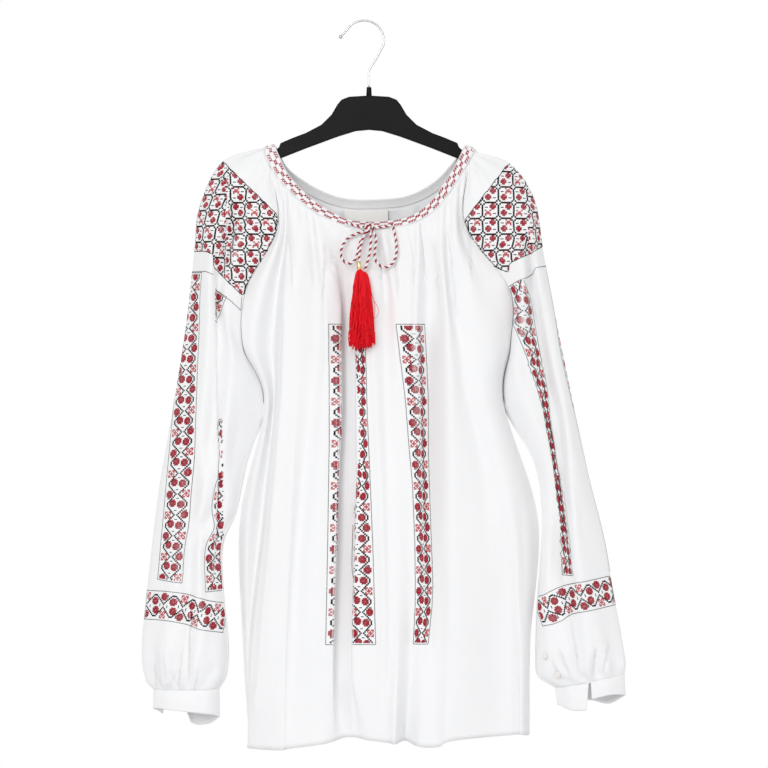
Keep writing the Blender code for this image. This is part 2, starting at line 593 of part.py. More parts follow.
def add_collar(plastic):
    """The collar on top of the bar, which holds the hook."""
    collar_foot = HANGER_HALF[0][1] + GAP
    length = COLLAR_TOP - collar_foot
    shape = bmesh.new()
    bmesh.ops.create_cone(shape, cap_ends=True, segments=20, radius1=COLLAR_RADIUS * MM,
                          radius2=COLLAR_RADIUS * COLLAR_TAPER * MM, depth=length * MM)
    mesh = bpy.data.meshes.new("hook_collar")
    shape.to_mesh(mesh)
    shape.free()
    collar = add_object("hook_collar", mesh, plastic)
    collar.location = (HANGER_CENTRE_X * MM, 0.0, (collar_foot + length / 2) * MM)


def add_hook(chrome):
    """The bent wire hook with its ball end."""
    centre_z = HOOK_WIRE_RADIUS - HOOK_BEND_RADIUS
    arc = []
    for angle in np.radians(np.linspace(*HOOK_BEND, HOOK_BEND_POINTS)):
        arc.append((HOOK_BEND_RADIUS * math.cos(angle), 0.0,
                    centre_z + HOOK_BEND_RADIUS * math.sin(angle)))
    bend = catmull_rom(HOOK_STEM + (arc[0],), HOOK_STEM_STEPS)
    stem = [(HANGER_CENTRE_X, 0.0, COLLAR_TOP + GAP)] + [tuple(point) for point in bend[:-1]]
    ball = np.array(HOOK_TIP)
    last = np.array(arc[-1])
    reach = (ball - last) / np.linalg.norm(ball - last)
    end = ball - reach * (HOOK_BALL_RADIUS / 2)
    rod = wire("hanger_hook", stem + arc + [tuple(end)], HOOK_WIRE_RADIUS, chrome)
    solid = bpy.data.meshes.new_from_object(rod.evaluated_get(bpy.context.evaluated_depsgraph_get()))
    welded = bmesh.new()
    welded.from_mesh(solid)
    bmesh.ops.remove_doubles(welded, verts=welded.verts, dist=0.00001)
    welded.to_mesh(solid)
    welded.free()
    bpy.data.objects.remove(rod)
    hook = bpy.data.objects.new("hanger_hook", solid)
    bpy.data.collections["folk_blouse"].objects.link(hook)
    knob_shape = bmesh.new()
    bmesh.ops.create_uvsphere(knob_shape, u_segments=12, v_segments=8, radius=HOOK_BALL_RADIUS * MM)
    knob_mesh = bpy.data.meshes.new("hook_ball_shape")
    knob_shape.to_mesh(knob_mesh)
    knob_shape.free()
    knob = bpy.data.objects.new("hook_ball_shape", knob_mesh)
    knob.location = ball * MM
    knob.hide_render = True
    knob.display_type = "WIRE"
    bpy.data.collections["cutters"].objects.link(knob)
    joined = hook.modifiers.new("ball end", "BOOLEAN")
    joined.operation = "UNION"
    joined.object = knob


def add_tassel(name, size, finish):
    """A bound head whose underside is drawn out into separate strands."""
    top = np.array(size["top"])
    foot_x, foot_y = size["foot"]
    neck_height = top[2] - TASSEL_HEAD_LENGTH
    side = TASSEL_SIDE
    skirt = size["head"] * SKIRT_WIDTH
    shape = bmesh.new()

    def disc(u, v):
        """A square grid place drawn round into a disc of radius one."""
        x, y = 2 * u / side - 1, 2 * v / side - 1
        return np.array((x * math.sqrt(1 - y * y / 2), y * math.sqrt(1 - x * x / 2)))

    bottom = {}
    for u in range(side + 1):
        for v in range(side + 1):
            x, y = disc(u, v) * skirt
            bottom[u, v] = shape.verts.new(np.array((top[0] + x, top[1] + y, neck_height)) * MM)
    under = []
    for u in range(side):
        for v in range(side):
            under.append(shape.faces.new((bottom[u, v], bottom[u, v + 1], bottom[u + 1, v + 1],
                                          bottom[u + 1, v])))
    rim = ([(u, 0) for u in range(side)] + [(side, v) for v in range(side)]
           + [(u, side) for u in range(side, 0, -1)] + [(0, v) for v in range(side, 0, -1)])
    ring = [bottom[place] for place in rim]
    for height, scale in TASSEL_PROFILE:
        level = neck_height + TASSEL_HEAD_LENGTH * height
        grown = []
        for place in rim:
            x, y = disc(*place) * size["head"] * scale
            grown.append(shape.verts.new(np.array((top[0] + x, top[1] + y, level)) * MM))
        for k in range(len(rim)):
            m = (k + 1) % len(rim)
            shape.faces.new((ring[k], ring[m], grown[m], grown[k]))
        ring = grown
    shape.faces.new(ring)
    bmesh.ops.inset_individual(shape, faces=under, thickness=STRAND_SLIT * MM)
    start = np.array([np.array(face.calc_center_median())[:2] / MM - top[:2] for face in under])
    strands = under
    for step in range(1, STRAND_RINGS + 1):
        share = step / STRAND_RINGS
        strands = bmesh.ops.extrude_discrete_faces(shape, faces=strands)["faces"]
        width = skirt + (size["spread"] - skirt) * share ** SKIRT_FLARE
        for k, face in enumerate(strands):
            end = size["end"] + RAGGED * math.sin(RAGGED_TURN * k + 1.0)
            place = np.array((top[0] + (foot_x - top[0]) * share + SWAY * math.sin(SWAY_TURN * k + share),
                              top[1] + (foot_y - top[1]) * share,
                              neck_height + (end - neck_height) * share))
            place[:2] += start[k] / skirt * width
            shift = Vector(place * MM) - face.calc_center_median()
            bmesh.ops.translate(shape, verts=face.verts, vec=shift)
    bmesh.ops.recalc_face_normals(shape, faces=shape.faces)
    mesh = bpy.data.meshes.new(name)
    shape.to_mesh(mesh)
    shape.free()
    add_object(name, mesh, finish)


def add_trimmings(cord, brass, silk):
    """The knot, bead, cords and tassels."""
    shape = bmesh.new()
    bmesh.ops.create_uvsphere(shape, u_segments=14, v_segments=8, radius=MM)
    for vert in shape.verts:
        for k in range(3):
            vert.co[k] *= KNOT_RADII[k]
    mesh = bpy.data.meshes.new("cord_knot")
    shape.to_mesh(mesh)
    shape.free()
    knot = add_object("cord_knot", mesh, cord)
    knot.location = [value * MM for value in KNOT_CENTRE]
    add_cords(cord)

    shape = bmesh.new()
    bmesh.ops.create_cone(shape, cap_ends=True, segments=14, radius1=BEAD["radius"] * MM,
                          radius2=BEAD["radius"] * BEAD["taper"] * MM, depth=BEAD["length"] * MM)
    mesh = bpy.data.meshes.new("tassel_bead")
    shape.to_mesh(mesh)
    shape.free()
    bead = add_object("tassel_bead", mesh, brass)
    bead.location = [value * MM for value in BEAD["centre"]]
    for name, size in TASSELS.items():
        add_tassel(name, size, silk)


def add_label(back, finish):
    """The bare label, hung inside the back neck just clear of the gathers."""
    width, height = LABEL_SIZE
    across = np.linspace(LABEL_CENTRE_X - width / 2, LABEL_CENTRE_X + width / 2, LABEL_STEPS[1] + 1)
    columns = [np.argmin(np.abs(back[0, :, 0] - x)) for x in across]
    top = back[0, columns, 2].min()
    near = back[back[..., 2] > top - height]
    reach = (near[:, 0] > across[0]) & (near[:, 0] < across[-1])
    lift = (WALL + LABEL_WALL) / 2 + GAP + LABEL_CLEARS_GATHERS
    y = near[reach, 1].min() - lift
    grid = [[(x, y, z) for x in across] for z in np.linspace(top, top - height, LABEL_STEPS[0] + 1)]
    cloth_wall("neck_label", np.array(grid), finish, wall=LABEL_WALL)


def build():
    """Makes every piece of the blouse and its hanger."""
    for old in list(bpy.data.objects):
        bpy.data.objects.remove(old, do_unlink=True)
    for name in ("folk_blouse", "cutters"):
        bpy.context.scene.collection.children.link(bpy.data.collections.new(name))
    cotton = material("white cotton", (0.86, 0.86, 0.87), 0.85)
    ribbon = material("cream ribbon", (0.83, 0.80, 0.74), 0.7)
    cord = material("red and white cord", (0.80, 0.35, 0.38), 0.7)
    silk = material("red silk", (0.75, 0.02, 0.04), 0.5)
    brass = material("gilt brass", (0.80, 0.58, 0.22), 0.3, 1.0)
    pearl = material("pearl", (0.88, 0.86, 0.82), 0.25)
    plastic = material("black plastic", (0.015, 0.015, 0.017), 0.45)
    chrome = material("chrome", (0.75, 0.75, 0.76), 0.12, 1.0)

    add_hanger_bar(plastic)
    add_collar(plastic)
    add_hook(chrome)
    front = front_grid()
    back = back_grid(front)
    cloth_wall("front_body", front, cotton)
    cloth_wall("back_body", back, cotton)
    left = sleeve_grid(LEFT_SLEEVE, front, back, -1)
    right = sleeve_grid(RIGHT_SLEEVE, front, back, 1)
    cloth_wall("sleeve_left", left, cotton)
    cloth_wall("sleeve_right", right, cotton)
    upper, lower = neck_edges()
    middle = (upper + lower) / 2
    cloth_wall("neckband", np.array([upper, middle, lower]), cotton, wall=BAND_WALL, closed=True)
    left_cuff = cuff_grid(left, LEFT_CUFF_OPENS, LEFT_CUFF_EDGE)
    right_cuff = cuff_grid(right, RIGHT_CUFF_OPENS, RIGHT_CUFF_EDGE)
    cloth_wall("cuff_left", left_cuff, cotton, wall=BAND_WALL)
    cloth_wall("cuff_right", right_cuff, cotton, wall=BAND_WALL)
    for number, place in enumerate(LEFT_BUTTONS, 1):
        add_button(f"button_left_{number}", left_cuff, BAND_WALL, place, -1, pearl)
    for number, place in enumerate(RIGHT_BUTTONS, 1):
        add_button(f"button_right_{number}", right, WALL, place, 1, pearl)
    add_label(back, ribbon)
    add_trimmings(cord, brass, silk)


build()
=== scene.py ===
"""The looks of a gathered folk blouse with raglan sleeves and cross-stitch, hung on a hanger.

Lengths are millimetres until they reach a mesh. X runs to the right, -Y to the front, +Z up, and
the origin is the underside of the hook where it hangs on a rail.
"""
import math

import bmesh
import bpy
import numpy as np
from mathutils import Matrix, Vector


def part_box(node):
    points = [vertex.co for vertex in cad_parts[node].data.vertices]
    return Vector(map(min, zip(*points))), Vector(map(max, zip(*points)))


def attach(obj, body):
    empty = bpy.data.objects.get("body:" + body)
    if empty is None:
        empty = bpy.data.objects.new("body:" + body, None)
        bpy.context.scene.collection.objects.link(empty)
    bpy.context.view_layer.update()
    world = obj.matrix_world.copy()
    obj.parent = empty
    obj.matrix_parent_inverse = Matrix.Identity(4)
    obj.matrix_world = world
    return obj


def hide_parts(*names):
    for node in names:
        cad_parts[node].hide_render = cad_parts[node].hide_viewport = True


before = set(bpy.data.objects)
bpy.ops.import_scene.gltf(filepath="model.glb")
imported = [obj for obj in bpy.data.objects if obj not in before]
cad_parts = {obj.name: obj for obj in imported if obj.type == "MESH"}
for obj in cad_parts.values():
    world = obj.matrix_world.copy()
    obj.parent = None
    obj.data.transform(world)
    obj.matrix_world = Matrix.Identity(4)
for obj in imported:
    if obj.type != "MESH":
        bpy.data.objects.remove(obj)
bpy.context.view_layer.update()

MM = 0.001
# How thick the cloth is, and the doubled cloth of the neckband and cuffs.
CLOTH = 0.8
BAND = 1.8
# How many points a curve has from each of its own points to the next.
CURVE_STEPS = 8
rng = np.random.default_rng(7)

# Camera

# In metres, square to the blouse's front.
CAMERA_PLACE = (0.024, -3.5, -0.435)
CAMERA_LENS = 136.7
SENSOR_WIDTH = 36.0

camera = bpy.data.objects.new("camera", bpy.data.cameras.new("camera"))
camera.data.lens = CAMERA_LENS
camera.data.sensor_width = SENSOR_WIDTH
camera.location = CAMERA_PLACE
camera.rotation_euler = (math.pi / 2, 0.0, 0.0)
bpy.context.scene.collection.objects.link(camera)
bpy.context.scene.camera = camera

# The blouse's own sizes

# The band round the neck: its upper and lower edge at each station, from the left shoulder over the
# front to the right shoulder and round the back.
NECK_STATIONS = (
    # upper x, y, z,     lower x, y, z
    (-106.5, 0.0, -149.0, -119.8, 0.0, -152.0),
    (-105.5, -6.5, -150.6, -119.0, -8.0, -154.8),
    (-102.5, -11.5, -160.0, -115.5, -14.5, -168.0),
    (-88.0, -17.0, -187.5, -96.5, -22.0, -196.5),
    (-59.0, -23.0, -216.5, -66.0, -28.0, -225.5),
    (-26.0, -26.0, -236.5, -30.0, -32.0, -244.5),
    (-2.0, -27.0, -242.0, -4.0, -33.5, -249.0),
    (31.0, -27.0, -241.0, 32.0, -33.5, -249.0),
    (58.0, -26.0, -234.0, 62.0, -32.0, -242.5),
    (80.0, -23.0, -217.0, 87.0, -28.5, -226.0),
    (96.0, -19.0, -195.0, 105.0, -23.5, -202.5),
    (110.0, -13.0, -172.0, 120.5, -16.5, -178.0),
    (119.0, -6.5, -153.0, 131.5, -8.0, -158.0),
    (120.5, 0.0, -150.0, 132.8, 0.0, -154.0),
    (119.5, 6.5, -152.0, 132.0, 8.0, -157.0),
    (109.0, 14.0, -166.0, 119.0, 17.0, -172.0),
    (85.0, 22.0, -191.0, 92.0, 25.0, -199.5),
    (53.0, 26.5, -207.5, 57.0, 29.0, -218.0),
    (16.0, 27.5, -212.0, 16.0, 30.5, -223.0),
    (-22.0, 27.0, -211.0, -24.0, 30.0, -222.0),
    (-55.0, 24.0, -200.0, -61.0, 27.0, -209.5),
    (-90.0, 15.5, -177.0, -99.0, 18.5, -184.5),
    (-104.0, 6.5, -152.6, -118.0, 8.0, -157.0),
)
NECK_STEPS = 12
# Stations counted from 0: the last of the front, which starts at 0, and the back's first and last.
FRONT_LAST = 12
BACK_FIRST, BACK_LAST = 14, 22
# How many stations to either side of the shoulder a sleeve may reach.
SLEEVE_STATIONS = 5

# Heights of the body's sections below the neck seam and the yoke, which lies halfway to the chest.
BODY_HEIGHTS = {"chest": -322.0, "bust": -388.0, "underarm": -458.0, "waist": -598.0, "hip": -742.0}
BODY_STEPS = (12, 14, 12, 12, 20, 20, 18)

# Each lengthwise fold of the front: where it lies and how far forward it stands at each section.
# x at: neck, yoke, chest, bust, underarm, waist, hip, hem
# depth at:    yoke, chest, bust, underarm, waist, hip, hem    then the height of the hem
FRONT_FOLDS = (
    ("left seam", (-110, -103, -140, -145, -120, -149, -146, -138), (21, 17, 11, 3, 0, -2, 0), -868),
    ("side ridge", (-104, -100, -122, -132, -115, -138, -141, -137), (25, 26, 22, 13, 14, 8, 7), -868),
    ("side valley", (-97, -95, -104, -110, -107, -122, -136, -136), (18, 14, 9, 5, 7, 12, 13), -868),
    ("fold edge", (-89, -90, -96, -99, -102, -115, -130, -136), (28, 34, 36, 38, 40, 37, 27), -869),
    ("left crown", (-78, -77, -79, -81, -83, -89, -96, -100), (35, 40, 43, 45, 48, 49, 47), -869),
    ("left crease", (-64, -61, -56, -56, -62, -77, -86, -88), (30, 34, 38, 41, 44, 46, 46), -867),
    ("left strip ridge", (-53, -48, -43, -40, -41, -46, -49, -47), (38, 43, 46, 47, 49, 50, 50), -861),
    ("centre valley", (-24, -20, -17, -16, -17, -17, -18, -17), (26, 21, 18, 17, 18, 22, 31), -855),
    ("centre ridge", (-11, -4, 4, 6, 10, 16, 18, 12), (40, 46, 48, 48, 49, 49, 46), -858),
    ("bow crease", (15, 19, 26, 26, 27, 29, 31, 29), (34, 38, 42, 45, 47, 48, 47), -860),
    ("tassel ridge", (26, 32, 37, 40, 41, 42, 41, 37), (40, 44, 46, 47, 48, 50, 53), -861),
    ("hem valley", (50, 52, 53, 53, 53, 53, 55, 49), (36, 41, 44, 46, 46, 39, 24), -860),
    ("right strip ridge", (62, 64, 63, 62, 64, 66, 68, 66), (39, 43, 45, 46, 46, 44, 44), -865),
    ("right valley", (71, 74, 77, 76, 75, 77, 80, 88), (27, 27, 27, 29, 35, 42, 47), -865),
    ("right crown", (86, 90, 95, 99, 102, 106, 109, 106), (38, 44, 47, 49, 51, 52, 51), -857),
    ("slant valley", (97, 98, 103, 115, 125, 160, 171, 176), (30, 34, 36, 38, 38, 30, 27), -853),
    ("side crown", (107, 109, 126, 137, 145, 178, 186, 187), (34, 38, 40, 41, 40, 36, 34), -852),
    ("raglan valley", (117, 117, 146, 158, 160, 195, 195, 194), (22, 29, 33, 29, 28, 25, 22), -854),
    ("right seam", (125, 121, 173, 175, 168, 209, 200, 199), (16, 18, 12, 4, 4, 2, 0), -855),
)
FRONT_COLUMN_STEPS = 10

BACK_FOLDS = (
    ("left ridge", (-92, -97, -118, -124, -104, -128, -128, -124), (24, 25, 24, 22, 24, 24, 24), -862),
    ("left valley", (-76, -80, -92, -96, -88, -98, -104, -100), (22, 20, 18, 18, 18, 17, 18), -860),
    ("left crown", (-58, -60, -66, -68, -66, -70, -74, -72), (30, 32, 33, 33, 34, 35, 34), -862),
    ("inner valley", (-36, -36, -36, -36, -36, -34, -36, -34), (26, 23, 22, 21, 21, 22, 24), -860),
    ("centre crown", (-8, -6, -4, -2, 0, 4, 4, 6), (31, 33, 34, 34, 35, 36, 36), -863),
    ("centre crease", (20, 22, 24, 26, 28, 34, 36, 36), (27, 25, 24, 24, 24, 25, 26), -861),
    ("right crown", (46, 48, 54, 58, 60, 72, 72, 70), (31, 33, 34, 34, 35, 36, 35), -860),
    ("right valley", (68, 72, 84, 90, 94, 108, 108, 104), (24, 22, 21, 20, 20, 20, 20), -857),
    ("side crown", (88, 92, 114, 124, 124, 144, 144, 142), (27, 28, 29, 29, 29, 29, 28), -855),
    ("side valley", (106, 108, 146, 154, 150, 182, 178, 176), (20, 20, 19, 16, 16, 16, 15), -854),
)
BACK_COLUMN_STEPS = 14
BACK_SEAM_SHIFT = 2.0
BACK_NECK_ENDS = (-105.0, 121.0)
UNDERARM_ROW = 5

SLEEVE_SEAM_STEPS = (12, 14, 12, 12)
SLEEVE_SEAM_ROWS = 5
# Sections of a sleeve from the neck to the cuff: its outermost point, its inner edge below the
# underarm, the fullness to front and back, where the main fold lies between outer edge (0) and
# inner edge (1), and how far each of five folds stands forward of the plain round.
LEFT_SLEEVE = (
    # outer x, z, inner x, z, front, back, fold at, five fold heights
    (-119.5, -152.6, 0.0, 0.0, 2.0, 2.0, 0.50, (0, 0, 0, 0, 0)),
    (-170.0, -169.5, 0.0, 0.0, 15.0, 15.0, 0.45, (0, 2, -3, 3, 0)),
    (-197.0, -223.0, 0.0, 0.0, 19.0, 18.0, 0.53, (2, 3, -9, 2, -1)),
    (-203.0, -274.0, 0.0, 0.0, 21.0, 19.0, 0.50, (1, 4, -8, 1, -4)),
    (-212.0, -357.0, 0.0, 0.0, 24.0, 20.0, 0.44, (-1, 4, -5, 3, -6)),
    (-228.0, -460.0, -140.0, -529.0, 24.0, 20.0, 0.52, (-3, 3, -7, 3, -5)),
    (-244.0, -550.0, -153.0, -589.0, 23.0, 20.0, 0.60, (-1, -5, 3, -7, -2)),
    (-253.0, -620.0, -169.0, -628.0, 22.0, 20.0, 0.56, (-1, 2, -6, 3, -4)),
    (-260.0, -683.0, -168.0, -685.0, 22.0, 20.0, 0.55, (-1, 2, -6, 3, -2)),
    (-265.0, -733.0, -163.0, -733.0, 23.0, 21.0, 0.55, (0, 2, -5, 3, -2)),
    (-265.5, -766.0, -162.0, -762.0, 23.0, 21.0, 0.50, (0, 1, -3, 2, 0)),
    (-260.0, -789.0, -165.0, -786.0, 21.0, 20.0, 0.50, (0, 0, 0, 0, 0)),
    (-252.0, -801.0, -174.0, -801.0, 16.0, 16.0, 0.50, (0, 0, 0, 0, 0)),
)
RIGHT_SLEEVE = (
    (132.5, -154.6, 0.0, 0.0, 2.0, 2.0, 0.50, (0, 0, 0, 0, 0)),
    (175.0, -171.5, 0.0, 0.0, 15.0, 15.0, 0.45, (0, 2, 2, 1, 0)),
    (204.0, -214.0, 0.0, 0.0, 19.0, 18.0, 0.42, (1, 2, -4, 3, 0)),
    (215.0, -280.0, 0.0, 0.0, 21.0, 19.0, 0.36, (2, 0, -12, -1, 2)),
    (230.0, -361.0, 0.0, 0.0, 23.0, 20.0, 0.32, (3, -1, -14, -6, 0)),
    (250.0, -458.0, 204.0, -529.0, 23.0, 20.0, 0.38, (2, 2, -14, -12, -6)),
    (269.0, -545.0, 213.0, -592.0, 22.0, 20.0, 0.52, (1, 2, -13, -12, -6)),
    (288.0, -622.0, 211.5, -645.0, 22.0, 20.0, 0.62, (0, 2, -14, -12, -5)),
    (298.0, -682.0, 207.5, -694.0, 22.0, 20.0, 0.58, (0, 2, -12, -8, -3)),
    (307.0, -730.0, 205.5, -742.0, 23.0, 21.0, 0.54, (0, 1, -7, -3, -1)),
    (310.0, -752.0, 205.5, -761.0, 23.0, 21.0, 0.50, (0, 1, -3, 0, 0)),
    (312.0, -771.0, 208.0, -785.0, 20.0, 19.0, 0.50, (0, 0, 0, 0, 0)),
    (312.0, -783.0, 230.0, -800.0, 15.0, 15.0, 0.50, (0, 0, 0, 0, 0)),
)
SLEEVE_STEPS = SLEEVE_SEAM_STEPS + (14, 10, 8, 8, 8, 6, 6, 6)
SLEEVE_SHARES = (0.17, 0.34, 0.5, 0.66, 0.83)
SLEEVE_COLUMN_STEPS = (11,) * 12
SLEEVE_MIDDLE = 66
SLEEVE_ROUND = 0.6
BACK_FOLD_SHARE = -0.5

# Gathers: how many, how deep, and how far they run before they fade.
NECK_GATHERS_FRONT = 14
NECK_GATHERS_BACK = 9
NECK_GATHERS_SLEEVE = 8
CUFF_GATHERS = 9
GATHER_DEPTH = 3.0
SHOULDER_GATHER_DEPTH = 1.5
GATHER_RISE = 12.0
GATHER_FADE = 38.0
# How the gathers wander from even spacing: by how much, and over how many turns across the cloth.
GATHER_WANDER = ((0.9, 1.7), (0.5, 4.1))

# How far round the sleeve a cuff opens, and its lower edge on from there: share of the way, then
# the move from the upper edge.
LEFT_CUFF_OPENS = 0.667
LEFT_CUFF_EDGE = (
    (0.00, 16.0, 1.0, -42.0),
    (0.12, 4.0, 3.0, -45.0),
    (0.24, 0.0, 2.0, -42.0),
    (0.34, 0.5, 0.0, -32.0),
    (0.50, 0.0, -2.0, -27.0),
    (0.66, 0.0, -2.0, -24.0),
    (0.80, -0.5, 0.0, -23.0),
    (0.90, -1.0, 1.5, -29.0),
    (1.00, -18.0, 2.0, -31.0),
)
RIGHT_CUFF_OPENS = 0.24
RIGHT_CUFF_EDGE = (
    (0.00, 1.5, -1.5, -20.0),
    (0.13, 1.0, -2.0, -20.0),
    (0.26, 1.0, 0.0, -26.0),
    (0.36, -2.0, 3.0, -34.0),
    (0.50, 0.0, 2.0, -25.0),
    (0.65, 1.0, 2.0, -22.0),
    (0.76, 3.0, 0.0, -20.0),
    (0.88, 1.0, -2.0, -29.0),
    (1.00, -3.0, -3.0, -33.0),
)
CUFF_STEPS = 112
CUFF_EDGE_STEPS = 14
CUFF_ROW_STEPS = (6, 6)
CUFF_END_MARGIN = 1.0
CUFF_BULGE = 1.06


def catmull_rom(points, steps):
    """Points on a smooth curve through the given ones; steps holds the count for each span."""
    points = np.asarray(points, dtype=float)
    before = np.vstack([2 * points[:1] - points[1:2], points[:-1]])
    after = np.vstack([points[1:], 2 * points[-1:] - points[-2:-1]])
    tangent = (after - before) / 2
    out = []
    for i, count in enumerate(steps):
        for k in range(count):
            t = k / count
            out.append((2 * t ** 3 - 3 * t ** 2 + 1) * points[i]
                       + (t ** 3 - 2 * t ** 2 + t) * tangent[i]
                       + (3 * t ** 2 - 2 * t ** 3) * points[i + 1]
                       + (t ** 3 - t ** 2) * tangent[i + 1])
    out.append(points[-1])
    return np.array(out)


def smooth_net(net, row_steps, column_steps):
    """A fine grid of points through a coarse net of sections (rows) and folds (columns)."""
    net = np.asarray(net, dtype=float)
    down = catmull_rom(np.eye(net.shape[0]), row_steps)
    across = catmull_rom(np.eye(net.shape[1]), column_steps)
    return np.einsum("ri,cj,ijk->rck", down, across, net)


def grid_normals(grid):
    """The unit normal at each point of a grid."""
    normal = np.cross(np.gradient(grid, axis=0), np.gradient(grid, axis=1))
    return normal / np.maximum(np.linalg.norm(normal, axis=2, keepdims=True), 1e-9)


def along(points):
    """How far along a line of points each of them lies."""
    return np.concatenate([[0], np.cumsum(np.linalg.norm(np.diff(points, axis=0), axis=1))])


def read_off(points, marks, stops):
    """A line's points at new stops, where marks says how far along its own points lie."""
    return np.column_stack([np.interp(stops, marks, part) for part in points.T])


def evenly(points, count):
    """A line of points spaced evenly."""
    length = along(points)
    return read_off(points, length, np.linspace(0, length[-1], count))


def curved(points, steps=CURVE_STEPS):
    """A smooth curve through points, with the same number of steps between any two."""
    return catmull_rom(points, (steps,) * (len(points) - 1))


def laid_out(grid):
    """How far across the cloth and how far down it each point of a grid lies."""
    across = np.cumsum(np.linalg.norm(np.diff(grid, axis=1), axis=2), axis=1)
    down = np.cumsum(np.linalg.norm(np.diff(grid, axis=0), axis=2), axis=0)
    return np.pad(across, ((0, 0), (1, 0))), np.pad(down, ((1, 0), (0, 0)))


def gathered(grid, count, from_last_row=False, seed=0.0, outward=1.0, depth=GATHER_DEPTH,
             fade=GATHER_FADE):
    """The grid with uneven small pleats that start at its first or last row and fade out."""
    rows = grid[::-1] if from_last_row else grid
    distance = laid_out(rows)[1]
    share = np.linspace(0, 1, rows.shape[1])[None, :]
    (slow, slow_turns), (quick, quick_turns) = GATHER_WANDER
    wander = (slow * np.sin(2 * math.pi * slow_turns * share + seed)
              + quick * np.sin(2 * math.pi * quick_turns * share))
    wave = np.cos(2 * math.pi * count * share + wander)
    size = np.minimum(1, distance / GATHER_RISE) * np.exp(-distance / fade)
    edges = np.minimum(1, np.minimum(share, 1 - share) * count)
    moved = rows + outward * grid_normals(rows) * (depth * size * wave * edges)[..., None]
    return moved[::-1] if from_last_row else moved


def neck_edges():
    """Both edges of the neckband as closed rings of points."""
    stations = np.array(NECK_STATIONS)
    ring = np.vstack([stations[-1:], stations, stations[:2]])
    dense = curved(ring, NECK_STEPS)[NECK_STEPS:-NECK_STEPS - 1]
    return dense[:, :3], dense[:, 3:]


def neck_seam(first, last, xs):
    """Points on the neck seam at the given x, between two stations."""
    edge = neck_edges()[1]
    order = np.arange(first * NECK_STEPS, last * NECK_STEPS + 1) % len(edge)
    part = edge[order]
    if part[0, 0] > part[-1, 0]:
        part = part[::-1]
    return read_off(part, part[:, 0], xs)


def body_net(folds, forward, first, last):
    """The coarse net of a body panel; forward is -1 for the front and 1 for the back."""
    heights = list(BODY_HEIGHTS.values())
    neck = neck_seam(first, last, [fold[1][0] for fold in folds])
    net = []
    for start, (_, xs, depths, hem) in zip(neck, folds):
        yoke_height = (start[2] + heights[0]) / 2
        column = [start]
        for x, depth, z in zip(xs[1:], depths, [yoke_height] + heights + [hem]):
            column.append((x, forward * depth, z))
        net.append(column)
    return np.array(net, dtype=float).transpose(1, 0, 2)


def front_grid():
    """The front from the neck seam to the hem."""
    net = body_net(FRONT_FOLDS, -1, 0, FRONT_LAST)
    fine = smooth_net(net, BODY_STEPS, (FRONT_COLUMN_STEPS,) * (len(FRONT_FOLDS) - 1))
    return gathered(fine, NECK_GATHERS_FRONT, outward=-1.0)


def back_grid(front):
    """The back, whose sides meet the front's sides below the underarm."""
    middle = body_net(BACK_FOLDS, 1, BACK_FIRST, BACK_LAST)
    levels = np.cumsum((0,) + BODY_STEPS)
    sides = []
    for column, outward in ((0, -1), (-1, 1)):
        edge = front[levels, column]
        side = edge.copy()
        side[:, 1] = np.abs(edge[:, 1])
        side[UNDERARM_ROW:, 1] = edge[UNDERARM_ROW:, 1]
        side[0] = neck_seam(BACK_FIRST, BACK_LAST, [BACK_NECK_ENDS[column]])[0]
        side[1:UNDERARM_ROW, 0] -= outward * BACK_SEAM_SHIFT
        sides.append(side)
    net = np.concatenate([sides[0][:, None], middle, sides[1][:, None]], axis=1)
    fine = smooth_net(net, BODY_STEPS, (BACK_COLUMN_STEPS,) * (len(BACK_FOLDS) + 1))
    below = levels[UNDERARM_ROW - 1]
    joins = np.clip((np.arange(len(fine)) - below) / BODY_STEPS[UNDERARM_ROW - 1], 0, 1)
    for column, step in ((0, 1), (-1, -1)):
        shift = (front[:, column] - fine[:, column]) * joins[:, None]
        for k in range(BACK_COLUMN_STEPS):
            fine[:, column + step * k] += shift * (1 - k / BACK_COLUMN_STEPS)
    return gathered(fine, NECK_GATHERS_BACK, seed=1.3, outward=1.0)


def neck_row(side, row):
    """The sleeve's first row, along the neckband over the shoulder."""
    edge = neck_edges()[1]
    crown = 0 if side < 0 else FRONT_LAST * NECK_STEPS
    reach = SLEEVE_STATIONS * NECK_STEPS
    near = np.roll(edge, reach - crown, axis=0)[:2 * reach + 1]
    if side < 0:
        near = near[::-1]
    length = along(near)
    start = length[np.argmin(np.linalg.norm(near - row[0], axis=1))]
    end = length[np.argmin(np.linalg.norm(near - row[-1], axis=1))]
    half = len(row) // 2
    stops = np.concatenate([np.linspace(start, length[reach], half + 1),
                            np.linspace(length[reach], end, half + 1)[1:]])
    placed = read_off(near, length, stops)
    placed[0] = row[0]
    placed[-1] = row[-1]
    return placed


